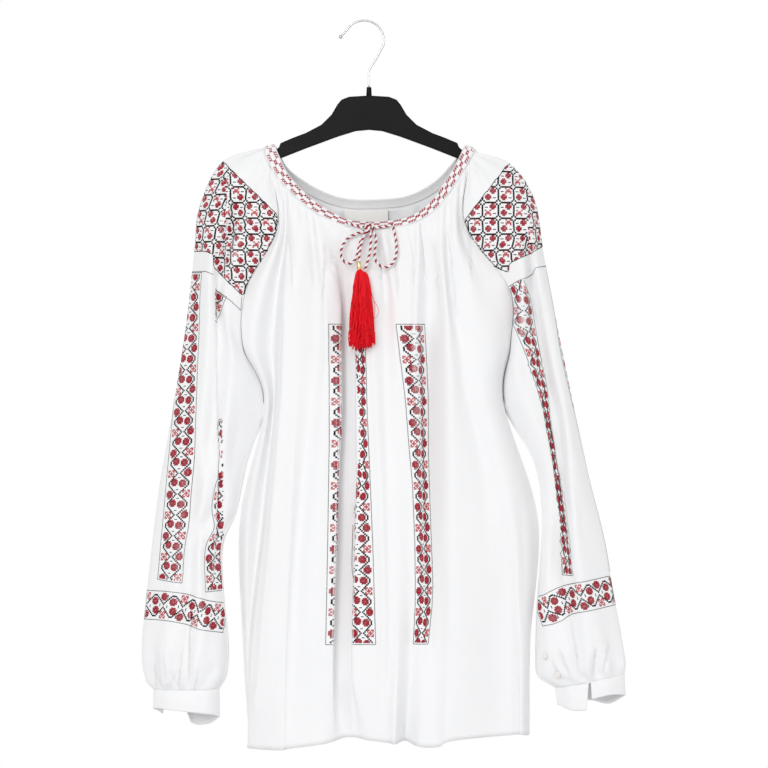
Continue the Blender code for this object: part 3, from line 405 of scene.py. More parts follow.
def sleeve_grid(table, front, back, side):
    """A sleeve as one sheet round from its front edge over the outside to its back edge."""
    levels = np.cumsum((0,) + SLEEVE_SEAM_STEPS)
    column = 0 if side < 0 else -1
    front_edge = front[:levels[-1] + 1, column]
    back_edge = back[:levels[-1] + 1, column]
    net = []
    for i, (outer_x, outer_z, inner_x, inner_z, ahead_by, behind_by, fold_at,
            folds) in enumerate(table):
        outer = np.array((outer_x, 0.0, outer_z))
        if i < SLEEVE_SEAM_ROWS:
            ahead = front_edge[levels[i]]
            behind = back_edge[levels[i]]
        else:
            ahead = behind = np.array((inner_x, 0.0, inner_z))
        power = math.log(fold_at) / math.log(0.5)
        row = [ahead]
        for share, rise in list(zip(SLEEVE_SHARES, folds))[::-1]:
            t = share ** power
            point = outer + (ahead - outer) * t
            point[1] -= ahead_by * math.sin(math.pi * t) ** SLEEVE_ROUND + rise
            row.append(point)
        row.append(outer)
        for share, rise in zip(SLEEVE_SHARES, folds):
            point = outer + (behind - outer) * share
            point[1] += (behind_by * math.sin(math.pi * share) ** SLEEVE_ROUND
                         + BACK_FOLD_SHARE * rise)
            row.append(point)
        row.append(behind)
        net.append(row)
    net = np.array(net)
    net[0] = neck_row(side, net[0])
    fine = smooth_net(net, SLEEVE_STEPS, SLEEVE_COLUMN_STEPS)
    fine[:len(front_edge), 0] = front_edge
    fine[:len(back_edge), -1] = back_edge
    pleated = gathered(fine, NECK_GATHERS_SLEEVE, seed=0.7, outward=side,
                       depth=SHOULDER_GATHER_DEPTH)
    return gathered(pleated, CUFF_GATHERS, from_last_row=True, seed=2.1, outward=side)


def cuff_grid(sleeve, opens, edge):
    """A cuff hanging from the sleeve's last row, open at the front."""
    ring = sleeve[-1]
    start = int(round(opens * (len(ring) - 1)))
    ring = np.vstack([ring[start:], ring[:start + 1]])
    length = along(ring)
    stops = np.linspace(CUFF_END_MARGIN, length[-1] - CUFF_END_MARGIN, CUFF_STEPS + 1)
    top = read_off(ring, length, stops)
    fine = curved(edge, CUFF_EDGE_STEPS)
    drop = read_off(fine[:, 1:], fine[:, 0], np.linspace(0, 1, CUFF_STEPS + 1))
    middle = top + drop * 0.5
    middle[:, 1] *= CUFF_BULGE
    return smooth_net(np.array([top, middle, top + drop]), CUFF_ROW_STEPS, (1,) * CUFF_STEPS)


# Finishes

class Value:
    """A number that varies over a surface; arithmetic on it adds Math nodes."""

    def __init__(self, finish, socket):
        self.finish = finish
        self.socket = socket

    def math(self, operation, *others):
        """One Math node on this value and any others."""
        inputs = {k: other for k, other in enumerate((self,) + others)}
        return self.finish.node("ShaderNodeMath", {"operation": operation}, inputs)

    def __add__(self, other):
        return self.math("ADD", other)

    def __sub__(self, other):
        return self.math("SUBTRACT", other)

    def __mul__(self, other):
        return self.math("MULTIPLY", other)

    def __rsub__(self, other):
        return (self * -1.0) + other

    __radd__ = __add__
    __rmul__ = __mul__

    def sine(self):
        """The sine of the value."""
        return self.math("SINE")

    def clamped(self):
        """The value kept between 0 and 1."""
        return self.math("MAXIMUM", 0.0).math("MINIMUM", 1.0)


class Tree:
    """A node tree, with short ways to add to it."""

    def __init__(self, owner):
        owner.use_nodes = True
        self.nodes = owner.node_tree.nodes
        self.links = owner.node_tree.links

    def feed(self, socket, value):
        """Links a varying value, or sets a fixed one."""
        if isinstance(value, Value):
            self.links.new(value.socket, socket)
        elif isinstance(value, tuple) and len(value) == 3 and socket.type == "RGBA":
            socket.default_value = (*value, 1.0)
        else:
            socket.default_value = value

    def node(self, kind, settings, inputs, output=0):
        """Any node: its type, its settings, what feeds its sockets, and the output to use."""
        made = self.nodes.new(kind)
        for name, value in settings.items():
            setattr(made, name, value)
        for name, value in inputs.items():
            self.feed(made.inputs[name], value)
        return Value(self, made.outputs[output])

    def parts(self, vector):
        """The three parts of a vector."""
        made = self.nodes.new("ShaderNodeSeparateXYZ")
        self.links.new(vector.socket, made.inputs[0])
        return [Value(self, made.outputs[k]) for k in range(3)]


class Finish(Tree):
    """A Principled surface and the nodes that vary it."""

    def __init__(self, name, colour, roughness, **fixed):
        self.material = bpy.data.materials.new(name)
        super().__init__(self.material)
        self.shader = self.nodes["Principled BSDF"]
        self.shader.inputs["Base Color"].default_value = (*colour, 1.0)
        self.shader.inputs["Roughness"].default_value = roughness
        for socket, value in fixed.items():
            self.shader.inputs[socket.replace("_", " ")].default_value = value

    def place(self, scale=(1.0, 1.0, 1.0)):
        """The cloth's own flat place in metres, scaled."""
        flat = self.node("ShaderNodeUVMap", {"uv_map": "flat"}, {})
        return self.node("ShaderNodeMapping", {}, {"Vector": flat, "Scale": scale})

    def solid_place(self, scale):
        """The place in the object's own space, scaled."""
        held = self.node("ShaderNodeTexCoord", {}, {}, "Object")
        return self.node("ShaderNodeMapping", {}, {"Vector": held, "Scale": (scale,) * 3})

    def noise(self, vector, scale, detail=3.0):
        """Soft uneven cloudiness from 0 to 1."""
        return self.node("ShaderNodeTexNoise", {}, {"Vector": vector, "Scale": scale,
                                                    "Detail": detail})

    def mixed(self, share, low, high):
        """A colour between two by a varying share."""
        made = self.nodes.new("ShaderNodeMix")
        made.data_type = "RGBA"
        self.feed(made.inputs[0], share)
        self.feed(made.inputs[6], low)
        self.feed(made.inputs[7], high)
        return Value(self, made.outputs[2])

    def bump(self, height, distance, strength):
        """Fine relief from a varying height."""
        normal = self.node("ShaderNodeBump", {}, {"Height": height, "Distance": distance,
                                                  "Strength": strength}, "Normal")
        self.links.new(normal.socket, self.shader.inputs["Normal"])

    def colour(self, value):
        """Feeds the surface's colour."""
        self.links.new(value.socket, self.shader.inputs["Base Color"])

    def roughness(self, value):
        """Feeds how rough the surface is."""
        self.links.new(value.socket, self.shader.inputs["Roughness"])


THREADS_PER_METRE = 1500.0


def woven(name, light, dark, threads=THREADS_PER_METRE, relief=0.00012, roughness=0.85):
    """Plain-woven cloth: over-and-under threads of slightly uneven thickness."""
    finish = Finish(name, light, roughness, Sheen_Weight=0.25, Sheen_Roughness=0.5,
                    Specular_IOR_Level=0.3)
    turn = math.pi * threads
    flat = finish.place()
    slub = finish.noise(finish.place((60.0, 900.0, 1.0)), 1.0) - 0.5
    slub_across = finish.noise(finish.place((900.0, 60.0, 1.0)), 1.0) - 0.5
    u, v, _ = finish.parts(flat)
    warp = (u * turn + slub * 2.0).sine()
    weft = (v * turn + slub_across * 2.0).sine()
    weave = warp * weft * 0.5 + 0.5
    cloud = finish.noise(finish.place(), 14.0)
    finish.colour(finish.mixed((weave * 0.5 + cloud * 0.5).clamped(), dark, light))
    finish.roughness(roughness - 0.08 * weave)
    finish.bump(weave + slub + slub_across, relief, 0.6)
    return finish.material


def thread(name, light, dark, roughness=0.6):
    """Stranded embroidery thread: fine twist and slight changes of shade."""
    finish = Finish(name, light, roughness, Specular_IOR_Level=0.25)
    shade = finish.noise(finish.solid_place(900.0), 1.0)
    patch = finish.noise(finish.solid_place(40.0), 1.0)
    finish.colour(finish.mixed((shade * 0.6 + patch * 0.5).clamped(), dark, light))
    finish.bump(shade, 0.0001, 0.5)
    return finish.material


cotton = woven("white cotton", (0.91, 0.91, 0.915), (0.84, 0.845, 0.855))
seam_thread = thread("white seam", (0.91, 0.91, 0.915), (0.88, 0.88, 0.89), roughness=0.85)
ribbon = woven("cream ribbon", (0.94, 0.925, 0.89), (0.89, 0.87, 0.835), threads=2600.0,
               relief=0.00006, roughness=0.6)
red_thread = thread("deep red thread", (0.43, 0.024, 0.044), (0.29, 0.012, 0.026))
pink_thread = thread("coral thread", (0.58, 0.085, 0.100), (0.46, 0.050, 0.065))
black_thread = thread("black thread", (0.014, 0.014, 0.017), (0.004, 0.004, 0.006))
cord_red = thread("dark red cord", (0.40, 0.022, 0.045), (0.26, 0.010, 0.022))
silk = thread("red silk", (0.98, 0.001, 0.016), (0.74, 0.001, 0.008), roughness=0.5)
cord_white = thread("white cord", (0.90, 0.89, 0.88), (0.80, 0.79, 0.79))


def brass_finish():
    """Gilt brass, a little darker where it is worn."""
    finish = Finish("gilt brass", (0.86, 0.62, 0.27), 0.25, Metallic=1.0)
    wear = finish.noise(finish.solid_place(600.0), 1.0)
    finish.colour(finish.mixed(wear, (0.70, 0.48, 0.18), (0.90, 0.68, 0.32)))
    finish.roughness(0.18 + 0.22 * wear)
    return finish.material


def pearl_finish():
    """Clouded pearl under a thin gloss."""
    finish = Finish("pearl", (0.88, 0.86, 0.82), 0.22, Coat_Weight=0.5, Coat_Roughness=0.1)
    cloud = finish.noise(finish.solid_place(420.0), 1.0, 2.0)
    finish.colour(finish.mixed(cloud, (0.78, 0.74, 0.71), (0.93, 0.92, 0.90)))
    return finish.material


def plastic_finish():
    """Matt black plastic with a fine grain and faint scuffs."""
    finish = Finish("black plastic", (0.003, 0.003, 0.003), 0.5, Specular_IOR_Level=0.12)
    grain = finish.noise(finish.solid_place(2200.0), 1.0, 2.0)
    scuff = finish.noise(finish.solid_place(30.0), 1.0, 5.0)
    finish.colour(finish.mixed(scuff, (0.002, 0.002, 0.002), (0.006, 0.006, 0.006)))
    finish.roughness(0.34 + 0.22 * scuff)
    finish.bump(grain, 0.00008, 0.4)
    return finish.material


def chrome_finish():
    """Chromed wire, faintly rubbed."""
    finish = Finish("chrome", (0.55, 0.55, 0.56), 0.12, Metallic=1.0)
    rub = finish.noise(finish.solid_place(250.0), 1.0, 4.0)
    finish.colour(finish.mixed(rub, (0.48, 0.48, 0.49), (0.66, 0.66, 0.67)))
    finish.roughness(0.08 + 0.14 * rub)
    return finish.material


brass = brass_finish()
pearl = pearl_finish()
plastic = plastic_finish()
chrome = chrome_finish()


# Making pieces

def piece(name, points, faces, finishes, slot, face_finish=None, place=None):
    """A smooth mesh from points in millimetres, riding on the blouse's only body."""
    mesh = bpy.data.meshes.new(name)
    mesh.from_pydata((np.asarray(points) * MM).tolist(), [], faces)
    for finish in finishes:
        mesh.materials.append(finish)
    if face_finish is not None:
        mesh.polygons.foreach_set("material_index", np.asarray(face_finish, dtype=np.int32))
    if place is not None:
        layer = mesh.uv_layers.new(name="flat")
        corner = np.zeros(len(mesh.loops), dtype=np.int32)
        mesh.loops.foreach_get("vertex_index", corner)
        layer.data.foreach_set("uv", (place[corner] * MM).ravel().astype(np.float32))
    mesh.shade_smooth()
    mesh.update()
    made = bpy.data.objects.new(name, mesh)
    bpy.context.scene.collection.objects.link(made)
    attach(made, "root")
    return made


def grid_faces(rows, columns, closed=False, flip=False):
    """The four-sided faces between neighbouring rows and columns."""
    r, c = np.mgrid[0:rows - 1, 0:columns if closed else columns - 1]
    d = (c + 1) % columns
    faces = np.stack([r * columns + c, (r + 1) * columns + c, (r + 1) * columns + d,
                      r * columns + d], axis=-1).reshape(-1, 4)
    return (faces[:, ::-1] if flip else faces).tolist()


def cloth_piece(name, grid, finish, slot, replaced, wall=CLOTH, closed=False, flip=False):
    """A thin shell of cloth over a grid of points, with its flat place as its UV map."""
    rows, columns = grid.shape[:2]
    place = np.stack(laid_out(grid), axis=-1).reshape(-1, 2)
    made = piece(name, grid.reshape(-1, 3), grid_faces(rows, columns, closed, flip), [finish], slot,
                 place=place)
    thick = made.modifiers.new("thickness", "SOLIDIFY")
    thick.thickness = wall * MM
    thick.offset = 0.0
    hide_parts(replaced)
    return made


def end_caps(rows, columns, first=0):
    """The two faces that close the ends of a tube of rings."""
    last = first + (rows - 1) * columns
    return [list(range(first, first + columns)), list(range(last, last + columns))[::-1]]


def turned(profile, columns):
    """The points of rings round an upright axis, one ring for each radius and height."""
    turns = [2 * math.pi * k / columns for k in range(columns)]
    return np.array([(r * math.cos(a), r * math.sin(a), h) for r, h in profile for a in turns])


def joined(*parts):
    """Points and faces of several meshes as one."""
    faces, count = [], 0
    for points, own in parts:
        faces += [[i + count for i in face] for face in own]
        count += len(points)
    return np.vstack([points for points, _ in parts]), faces


# Any direction that no thread runs along.
ACROSS_THREADS = (0.31, 0.93, 0.2)


def tubes(paths, radius, sides):
    """Points and faces of round threads along lines that all have as many points."""
    paths = np.asarray(paths, dtype=float)
    count, length = paths.shape[:2]
    ahead = np.gradient(paths, axis=1)
    ahead /= np.maximum(np.linalg.norm(ahead, axis=2, keepdims=True), 1e-9)
    side = np.cross(ahead, ACROSS_THREADS)
    side /= np.maximum(np.linalg.norm(side, axis=2, keepdims=True), 1e-9)
    other = np.cross(ahead, side)
    turn = np.arange(sides) * 2 * math.pi / sides
    ring = (side[:, :, None] * np.cos(turn)[:, None] + other[:, :, None] * np.sin(turn)[:, None])
    points = (paths[:, :, None] + ring * radius).reshape(-1, 3)
    base = np.array(grid_faces(length, sides, closed=True))
    faces = (base[None] + np.arange(count)[:, None, None] * length * sides).reshape(-1, 4).tolist()
    for k in range(count):
        faces += end_caps(length, sides, k * length * sides)
    return points, faces


# Drawstring

CORD_RADIUS = 1.65
CORD_TURN = 7.6
CORD_STEP = 0.55
CORD_ROUTES = {
    "cord_run_left": ((0.3, -39.6, -249.4), (-7.0, -38.0, -247.6), (-14.0, -36.0, -245.6),
                      (-20.5, -33.8, -242.6)),
    "cord_run_right": ((12.8, -40.0, -249.4), (20.0, -38.8, -248.6), (27.0, -37.2, -247.6),
                       (34.0, -35.4, -245.6)),
    "bow_loop_left": ((1.1, -42.0, -253.8), (-8.0, -41.0, -256.5), (-18.0, -39.5, -261.5),
                      (-24.6, -39.0, -270.0), (-27.0, -39.5, -279.5), (-24.8, -41.0, -288.0),
                      (-17.5, -43.0, -292.5), (-10.4, -44.4, -288.0), (-7.2, -44.6, -279.0),
                      (-5.0, -44.4, -269.0), (-0.8, -43.6, -260.0), (2.6, -42.6, -256.0)),
    "bow_loop_right": ((11.2, -42.4, -253.6), (14.6, -43.0, -262.0), (13.6, -44.6, -274.0),
                       (13.0, -46.0, -284.0), (16.4, -47.4, -292.4), (24.5, -48.0, -297.0),
                       (33.0, -47.2, -293.2), (38.0, -45.4, -284.0), (38.8, -43.0, -273.0),
                       (37.6, -40.4, -262.0), (35.8, -38.6, -253.2), (34.6, -36.4, -247.6)),
    "cord_tail_left": ((4.6, -46.4, -251.4), (1.0, -49.6, -257.0), (-2.4, -50.8, -267.0),
                       (-4.6, -52.6, -278.0), (-5.6, -55.6, -289.9)),
    "cord_tail_right": ((7.6, -44.4, -254.5), (8.4, -48.0, -266.0), (7.4, -49.0, -278.0),
                        (4.6, -50.4, -290.0), (1.0, -52.6, -301.0)),
}
CORD_CURVE_STEPS = 24
CORD_COLUMNS = 18
# The cord's radius between two plies as a share of its full one, and how gently it dips there.
PLY_VALLEY = 0.78
PLY_ROUND = 0.8
RED_PLY_FIRST = 2
RED_PLY_COLUMNS = 8
# The knot is a coil of cord about X with one turn laid over its front. How far the coil fills the
# knot, and how its radius swings, are shares of the knot's own radii.
KNOT_CENTRE = (6.3, -41.6, -250.8)
KNOT_RADII = (9.0, 6.2, 7.2)
KNOT_TURNS = 2.6
KNOT_COIL = (1.15, 0.7, 0.9)
KNOT_SWING = (0.62, 0.12)
KNOT_POINTS, OVER_TURN_POINTS = 40, 16
OVER_TURN = (-0.35 * math.pi, 1.35 * math.pi)
OVER_TURN_LEANS = 1.6
OVER_TURN_INSET = (1.5, 1.3)
OVER_TURN_SHIFT = (-0.5, -0.6)


def twisted_cord(route):
    """Points, faces, face finishes and centreline of three plies laid round one another."""
    smooth = curved(route, CORD_CURVE_STEPS)
    line = evenly(smooth, max(8, int(along(smooth)[-1] / CORD_STEP)))
    stops = np.linspace(0, along(smooth)[-1], len(line))
    ahead = np.gradient(line, axis=0)
    ahead /= np.linalg.norm(ahead, axis=1, keepdims=True)
    side = np.cross(ahead[0], (0.0, 1.0, 0.3))
    sides = []
    for direction in ahead:
        side = side - direction * (side @ direction)
        side /= np.linalg.norm(side)
        sides.append(side)
    sides = np.array(sides)
    others = np.cross(ahead, sides)
    lobe = 2 * math.pi * (np.arange(CORD_COLUMNS) + 0.5) / CORD_COLUMNS
    ply = CORD_RADIUS * (PLY_VALLEY + (1 - PLY_VALLEY) * np.abs(np.cos(1.5 * lobe)) ** PLY_ROUND)
    angle = lobe[None] + (2 * math.pi * stops / CORD_TURN)[:, None]
    points = (line[:, None] + sides[:, None] * (np.cos(angle) * ply)[..., None]
              + others[:, None] * (np.sin(angle) * ply)[..., None])
    faces = grid_faces(len(line), CORD_COLUMNS, closed=True)
    column = np.arange(len(faces)) % CORD_COLUMNS
    red = (column >= RED_PLY_FIRST) & (column < RED_PLY_FIRST + RED_PLY_COLUMNS)
    faces += end_caps(len(line), CORD_COLUMNS)
    return points.reshape(-1, 3), faces, [int(x) for x in red] + [0, 0], line


cords = {}
for cord_name, cord_route in CORD_ROUTES.items():
    cord_points, cord_faces, cord_plies, cord_line = twisted_cord(cord_route)
    made_cord = piece(cord_name + "_twist", cord_points, cord_faces, [cord_white, cord_red], "cord",
                      face_finish=cord_plies)
    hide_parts(cord_name)
    cords[cord_name] = (made_cord, cord_line)


def knot():
    """The bow's knot: a rounded core of the same cord with one turn wrapped over it."""
    cx, cy, cz = KNOT_CENTRE
    rx, ry, rz = KNOT_RADII
    wide, deep, tall = KNOT_COIL
    core = []
    for share in np.linspace(0, 1, KNOT_POINTS):
        t = 2 * math.pi * KNOT_TURNS * share
        swing = KNOT_SWING[0] + KNOT_SWING[1] * math.sin(3 * t)
        core.append((cx + (share - 0.5) * rx * wide, cy + ry * swing * deep * math.cos(t),
                     cz + rz * swing * tall * math.sin(t)))
    points, faces, plies, _ = twisted_cord(core)
    over = []
    for t in np.linspace(*OVER_TURN, OVER_TURN_POINTS):
        over.append((cx + OVER_TURN_SHIFT[0] + OVER_TURN_LEANS * math.cos(t),
                     cy + OVER_TURN_SHIFT[1] - (ry - OVER_TURN_INSET[0]) * math.sin(t),
                     cz + (rz - OVER_TURN_INSET[1]) * math.cos(t)))
    more, more_faces, more_plies, _ = twisted_cord(over)
    made = piece("bow_knot", *joined((points, faces), (more, more_faces)), [cord_white, cord_red],
                 "cord", face_finish=plies + more_plies)
    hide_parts("cord_knot")


knot()

BEAD_CENTRE = (-5.8, -56.4, -295.4)
BEAD_RADIUS = 2.9
BEAD_LENGTH = 9.6
BEAD_FLUTES = 12
BEAD_FLUTE_DEPTH = 0.05
# Where the flutes begin and end, as shares of the length from the top.
BEAD_FLUTED = (0.3, 0.8)
BEAD_COLUMNS = 48
BEAD_PROFILE = (
    # share of the length from the top, and of the radius
    (0.0, 0.62), (0.03, 0.80), (0.10, 0.86), (0.15, 0.74), (0.24, 0.72), (0.34, 0.82), (0.5, 0.90),
    (0.66, 0.94), (0.78, 0.92), (0.84, 0.80), (0.88, 0.98), (0.94, 1.00), (0.98, 0.92), (1.0, 0.62),
)


def bead():
    """The small gilt bead with a turned rim and fluted sides."""
    points = turned([(BEAD_RADIUS * width, BEAD_LENGTH * (0.5 - share))
                     for share, width in BEAD_PROFILE], BEAD_COLUMNS)
    shares = np.repeat([share for share, _ in BEAD_PROFILE], BEAD_COLUMNS)
    fluted = (shares > BEAD_FLUTED[0]) & (shares < BEAD_FLUTED[1])
    angle = np.arctan2(points[:, 1], points[:, 0])
    flute = 1 - BEAD_FLUTE_DEPTH * fluted * (1 + np.cos(BEAD_FLUTES * angle)) / 2
    points[:, :2] *= flute[:, None]
    points += BEAD_CENTRE
    faces = grid_faces(len(BEAD_PROFILE), BEAD_COLUMNS, closed=True)
    faces += end_caps(len(BEAD_PROFILE), BEAD_COLUMNS)
    made = piece("gilt_bead", points, faces, [brass], "bead_brass")
    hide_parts("tassel_bead")
    return made


gilt_bead = bead()

# Tassels

TASSELS = {
    # the strands leave the top, fall over the head and spread to an oval foot
    "tassel_left": {"top": (-4.4, -58.8, -300.6), "head": (5.8, 5.4), "foot": (-5.6, -62.6),
                    "spread": (12.0, 7.4), "end": -389.5},
    "tassel_right": {"top": (-0.2, -53.6, -303.0), "head": (6.0, 5.0), "foot": (3.6, -57.6),
                     "spread": (8.8, 7.0), "end": -387.5},
}
TASSEL_HEAD_LENGTH = 15.0
TASSEL_PROFILE = ((0.0, 0.35), (0.05, 0.55), (0.15, 0.76), (0.35, 0.95), (0.7, 1.15), (1.0, 1.3))
STRANDS = 240
STRAND_RADIUS = 0.46
HEAD_STEPS = 9
SKIRT_STEPS = 15
# How far a strand strays from its line, and between how few and how many waves it has.
STRAND_WAVE = 2.1
STRAND_WAVES = (0.6, 3.0)
# How little of the middle has no strand, as a share of the area, and how far down the head the
# innermost strands reach, as a share of its length.
STRAND_CORE = 0.05
HEAD_INNER = 0.6
# How unevenly the strands end, and how far the foot's cut is off level.
STRAND_RAGGED = 7.0
FOOT_UNEVEN = 2.0
SKIRT_FLARE = 0.8
# The thread bound round the top: turns, radius, distance between turns, its own radius, and how
# far above the tassel's top it begins.
BINDING = {"turns": 4, "radius": 2.4, "pitch": 0.7, "thread": 0.45, "above": 0.4}


def tassel(name, size):
    """Silky strands gathered at the top and hanging free to a ragged end."""
    top = np.array(size["top"])
    foot = np.array(size["foot"])
    head, spread = np.array(size["head"]), np.array(size["spread"])
    draw = rng.random((STRANDS, 8))
    angle = 2 * math.pi * draw[:, 0]
    reach = np.sqrt(STRAND_CORE + (1 - STRAND_CORE) * draw[:, 1])
    around = np.column_stack([np.cos(angle), np.sin(angle)]) * reach[:, None]
    profile = np.array(TASSEL_PROFILE)
    end = size["end"] + STRAND_RAGGED * (draw[:, 2] - 0.5) + FOOT_UNEVEN * np.cos(angle * 2 + 1)
    paths = np.zeros((STRANDS, HEAD_STEPS + SKIRT_STEPS, 3))
    for j, share in enumerate(np.linspace(0, 1, HEAD_STEPS)):
        width = np.interp(share, profile[:, 0], profile[:, 1])
        paths[:, j, :2] = top[:2] + around * head * width
        fall = HEAD_INNER + (1 - HEAD_INNER) * reach
        paths[:, j, 2] = top[2] - share * TASSEL_HEAD_LENGTH * fall
    start = paths[:, HEAD_STEPS - 1, 2]
    for j, share in enumerate(np.linspace(0, 1, SKIRT_STEPS + 1)[1:], HEAD_STEPS):
        flare = share ** SKIRT_FLARE
        width = head * profile[-1, 1] * (1 - flare) + spread * flare
        paths[:, j, :2] = top[:2] + (foot - top[:2]) * share + around * width
        for k in (0, 1):
            turns = STRAND_WAVES[0] + (STRAND_WAVES[1] - STRAND_WAVES[0]) * draw[:, 3 + 2 * k]
            paths[:, j, k] += STRAND_WAVE * share ** 0.5 * np.sin(
                2 * math.pi * (share * turns + draw[:, 4 + 2 * k]))
        paths[:, j, 2] = start + (end - start) * share
    radius, pitch = BINDING["radius"], BINDING["pitch"]
    binding = [[(top[0] + radius * math.cos(a), top[1] + radius * math.sin(a),
                 top[2] + BINDING["above"] - pitch * (turn + a / (2 * math.pi)))
                for a in np.linspace(0, 2 * math.pi, 33)] for turn in range(BINDING["turns"])]
    points, faces = joined(tubes(paths, STRAND_RADIUS, 4), tubes(binding, BINDING["thread"], 6))
    made = piece(name + "_strands", points, faces, [silk], "silk")
    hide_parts(name)


for tassel_name, tassel_size in TASSELS.items():
    tassel(tassel_name, tassel_size)

# Threads that stand out beside the tassels.
STRAY_LOOPS = (
    ((7.6, -60.0, -320.0), (10.6, -60.4, -333.0), (14.8, -60.6, -341.0), (17.8, -60.6, -349.0),
     (15.8, -60.6, -355.0), (11.6, -60.4, -359.0)),
    ((8.0, -61.0, -326.0), (12.6, -61.4, -338.0), (13.2, -61.6, -350.0), (10.0, -61.4, -366.0)),
    ((-12.0, -62.2, -338.0), (-15.2, -62.8, -350.0), (-15.4, -63.4, -362.0), (-13.6, -63.6, -374.0)),
)
STRAY_RADIUS = 0.28
STRAY_POINTS, STRAY_SIDES = 30, 5
loops = tubes([evenly(curved(loop), STRAY_POINTS) for loop in STRAY_LOOPS], STRAY_RADIUS, STRAY_SIDES)
piece("tassel_stray_loops", *loops, [silk], "silk")

# The free cords, each with what hangs on it.
FREE_CORDS = {"bow_loop_left": [], "bow_loop_right": [], "cord_tail_left": [gilt_bead],
              "cord_tail_right": []}
for cord_name, hung_on in FREE_CORDS.items():
    made_cord, cord_line = cords[cord_name]
    tuple(cord_line[0] * MM)
    (cord_line * MM).tolist()

# Cloth

# Soft troughs (height below 0) and ridges: width, height, then the line's x and z from end to end.
# A line's ends keep a little of the height, and it rises softly to the full height between them.
CREASE_ENDS = 0.05
CREASE_SOFTNESS = 0.7
FRONT_CREASES = (
    (4.5, -3.0, -91, -232, -90, -262, -86, -300),
    (3.6, -2.4, -64, -262, -62, -290, -58, -330),
    (3.2, -2.6, -46, -264, -46, -292, -50, -340),
    (3.0, -2.0, -37, -262, -38, -300),
    (5.0, -2.4, 16, -262, 22, -300, 25, -350),
    (3.6, -2.2, 34, -262, 38, -300, 40, -336),
    (4.0, -2.2, 79, -262, 86, -310, 92, -380),
    (5.0, -2.6, 98, -262, 103, -310, 112, -372),
    (7.0, -3.0, -58, -400, -68, -520, -78, -640, -84, -790),
    (6.0, 2.0, -76, -400, -84, -520, -94, -660),
    (8.0, -2.6, 26, -330, 24, -430, 30, -560),
    (9.0, 2.0, 100, -420, 104, -560, 108, -700),
    (7.0, -2.4, 128, -470, 140, -540, 148, -640),
    (6.0, -2.0, 92, -640, 94, -740, 92, -830),
    (6.0, -1.8, 4, -640, 0, -740, 2, -820),
    (8.0, -2.4, -112, -600, -122, -700, -126, -800),
    (5.0, -2.0, 184, -560, 190, -640, 188, -760),
    (10.0, -2.0, 150, -700, 156, -780, 158, -845),
    (4.0, 1.6, -30, -690, -34, -760, -34, -840),
)
BACK_CREASES = (
    (4.5, -2.6, -70, -212, -74, -250, -82, -310),
    (4.0, -2.2, -30, -226, -32, -262, -36, -320),
    (4.0, -2.4, 6, -228, 8, -270, 10, -330),
    (4.5, -2.4, 60, -222, 64, -260, 72, -330),
    (8.0, -3.0, -96, -420, -90, -560, -94, -760),
    (7.0, -2.4, 20, -380, 28, -520, 34, -700),
    (8.0, -2.6, 110, -440, 116, -580, 112, -760),
    (9.0, 2.0, -50, -480, -54, -620, -56, -780),
    (6.0, -2.0, 70, -520, 84, -640, 84, -800),
)
LEFT_SLEEVE_CREASES = (
    (5.0, -3.5, -152, -212, -158, -262, -164, -330, -168, -400),
    (4.0, 2.0, -164, -214, -170, -262, -176, -330),
    (7.0, -3.0, -174, -300, -176, -420, -172, -560, -170, -640),
    (7.0, -3.0, -196, -360, -198, -460, -204, -560, -214, -660),
    (8.0, -2.6, -150, -400, -154, -470, -160, -540),
    (5.0, -2.6, -186, -560, -190, -640, -186, -720),
    (6.0, -3.4, -218, -744, -222, -770, -224, -800),
    (5.0, -3.4, -206, -742, -208, -776, -206, -800),
    (5.0, -3.0, -250, -752, -247, -778, -243, -800),
    (5.0, -2.4, -232, -760, -230, -782, -230, -802),
    (6.0, -2.6, -182, -768, -180, -776, -184, -784),
    (9.0, 2.4, -234, -736, -236, -756, -236, -780),
)
RIGHT_SLEEVE_CREASES = (
    (6.0, -3.0, 198, -280, 204, -336, 216, -420, 226, -520, 240, -576),
    (7.0, 2.4, 184, -300, 192, -360, 206, -440),
    (6.0, -2.4, 176, -330, 182, -380, 196, -440),
    (6.0, -2.6, 232, -420, 246, -520, 262, -620),
    (7.0, -3.0, 250, -716, 256, -750, 262, -784),
    (6.0, -2.8, 234, -756, 246, -774, 256, -788),
    (6.0, -2.8, 276, -754, 276, -776, 274, -790),
    (6.0, -2.4, 292, -748, 290, -760, 286, -776),
    (9.0, 2.4, 268, -730, 268, -756, 266, -780),
)

# Sharp tucks: how far the rise reaches, its height, how far the drop reaches (negative where the
# high side is on the right), then the line's x and z from end to end. They fade over a length at
# either end, or over a share of a short line, and drop to a share of the height below the cloth.
TUCK_FADE = 30.0
TUCK_FADE_SHARE = 0.3
TUCK_DROP = 0.6
LEFT_TUCKS = (
    (9.0, 2.6, 4.0, -177.6, -296, -176.0, -420, -174.0, -520, -176.0, -600, -182.0, -690),
    (12.0, 2.0, -5.0, -163.0, -196, -164.5, -250, -166.0, -330),
    (7.0, 2.8, 3.0, -206.0, -690, -208.0, -740, -210.0, -802),
    (5.0, 2.6, 2.5, -252.0, -760, -249.6, -780, -247.0, -803),
    (6.0, 2.4, 2.5, -241.5, -742, -238.8, -766, -233.6, -806),
    (4.5, 2.6, -2.5, -226.0, -776, -229.0, -790, -233.0, -803),
    (5.5, 3.0, -2.5, -214.0, -744, -217.4, -766, -221.6, -803),
    (4.5, 2.2, 2.5, -198.0, -770, -199.0, -786, -203.0, -803),
)
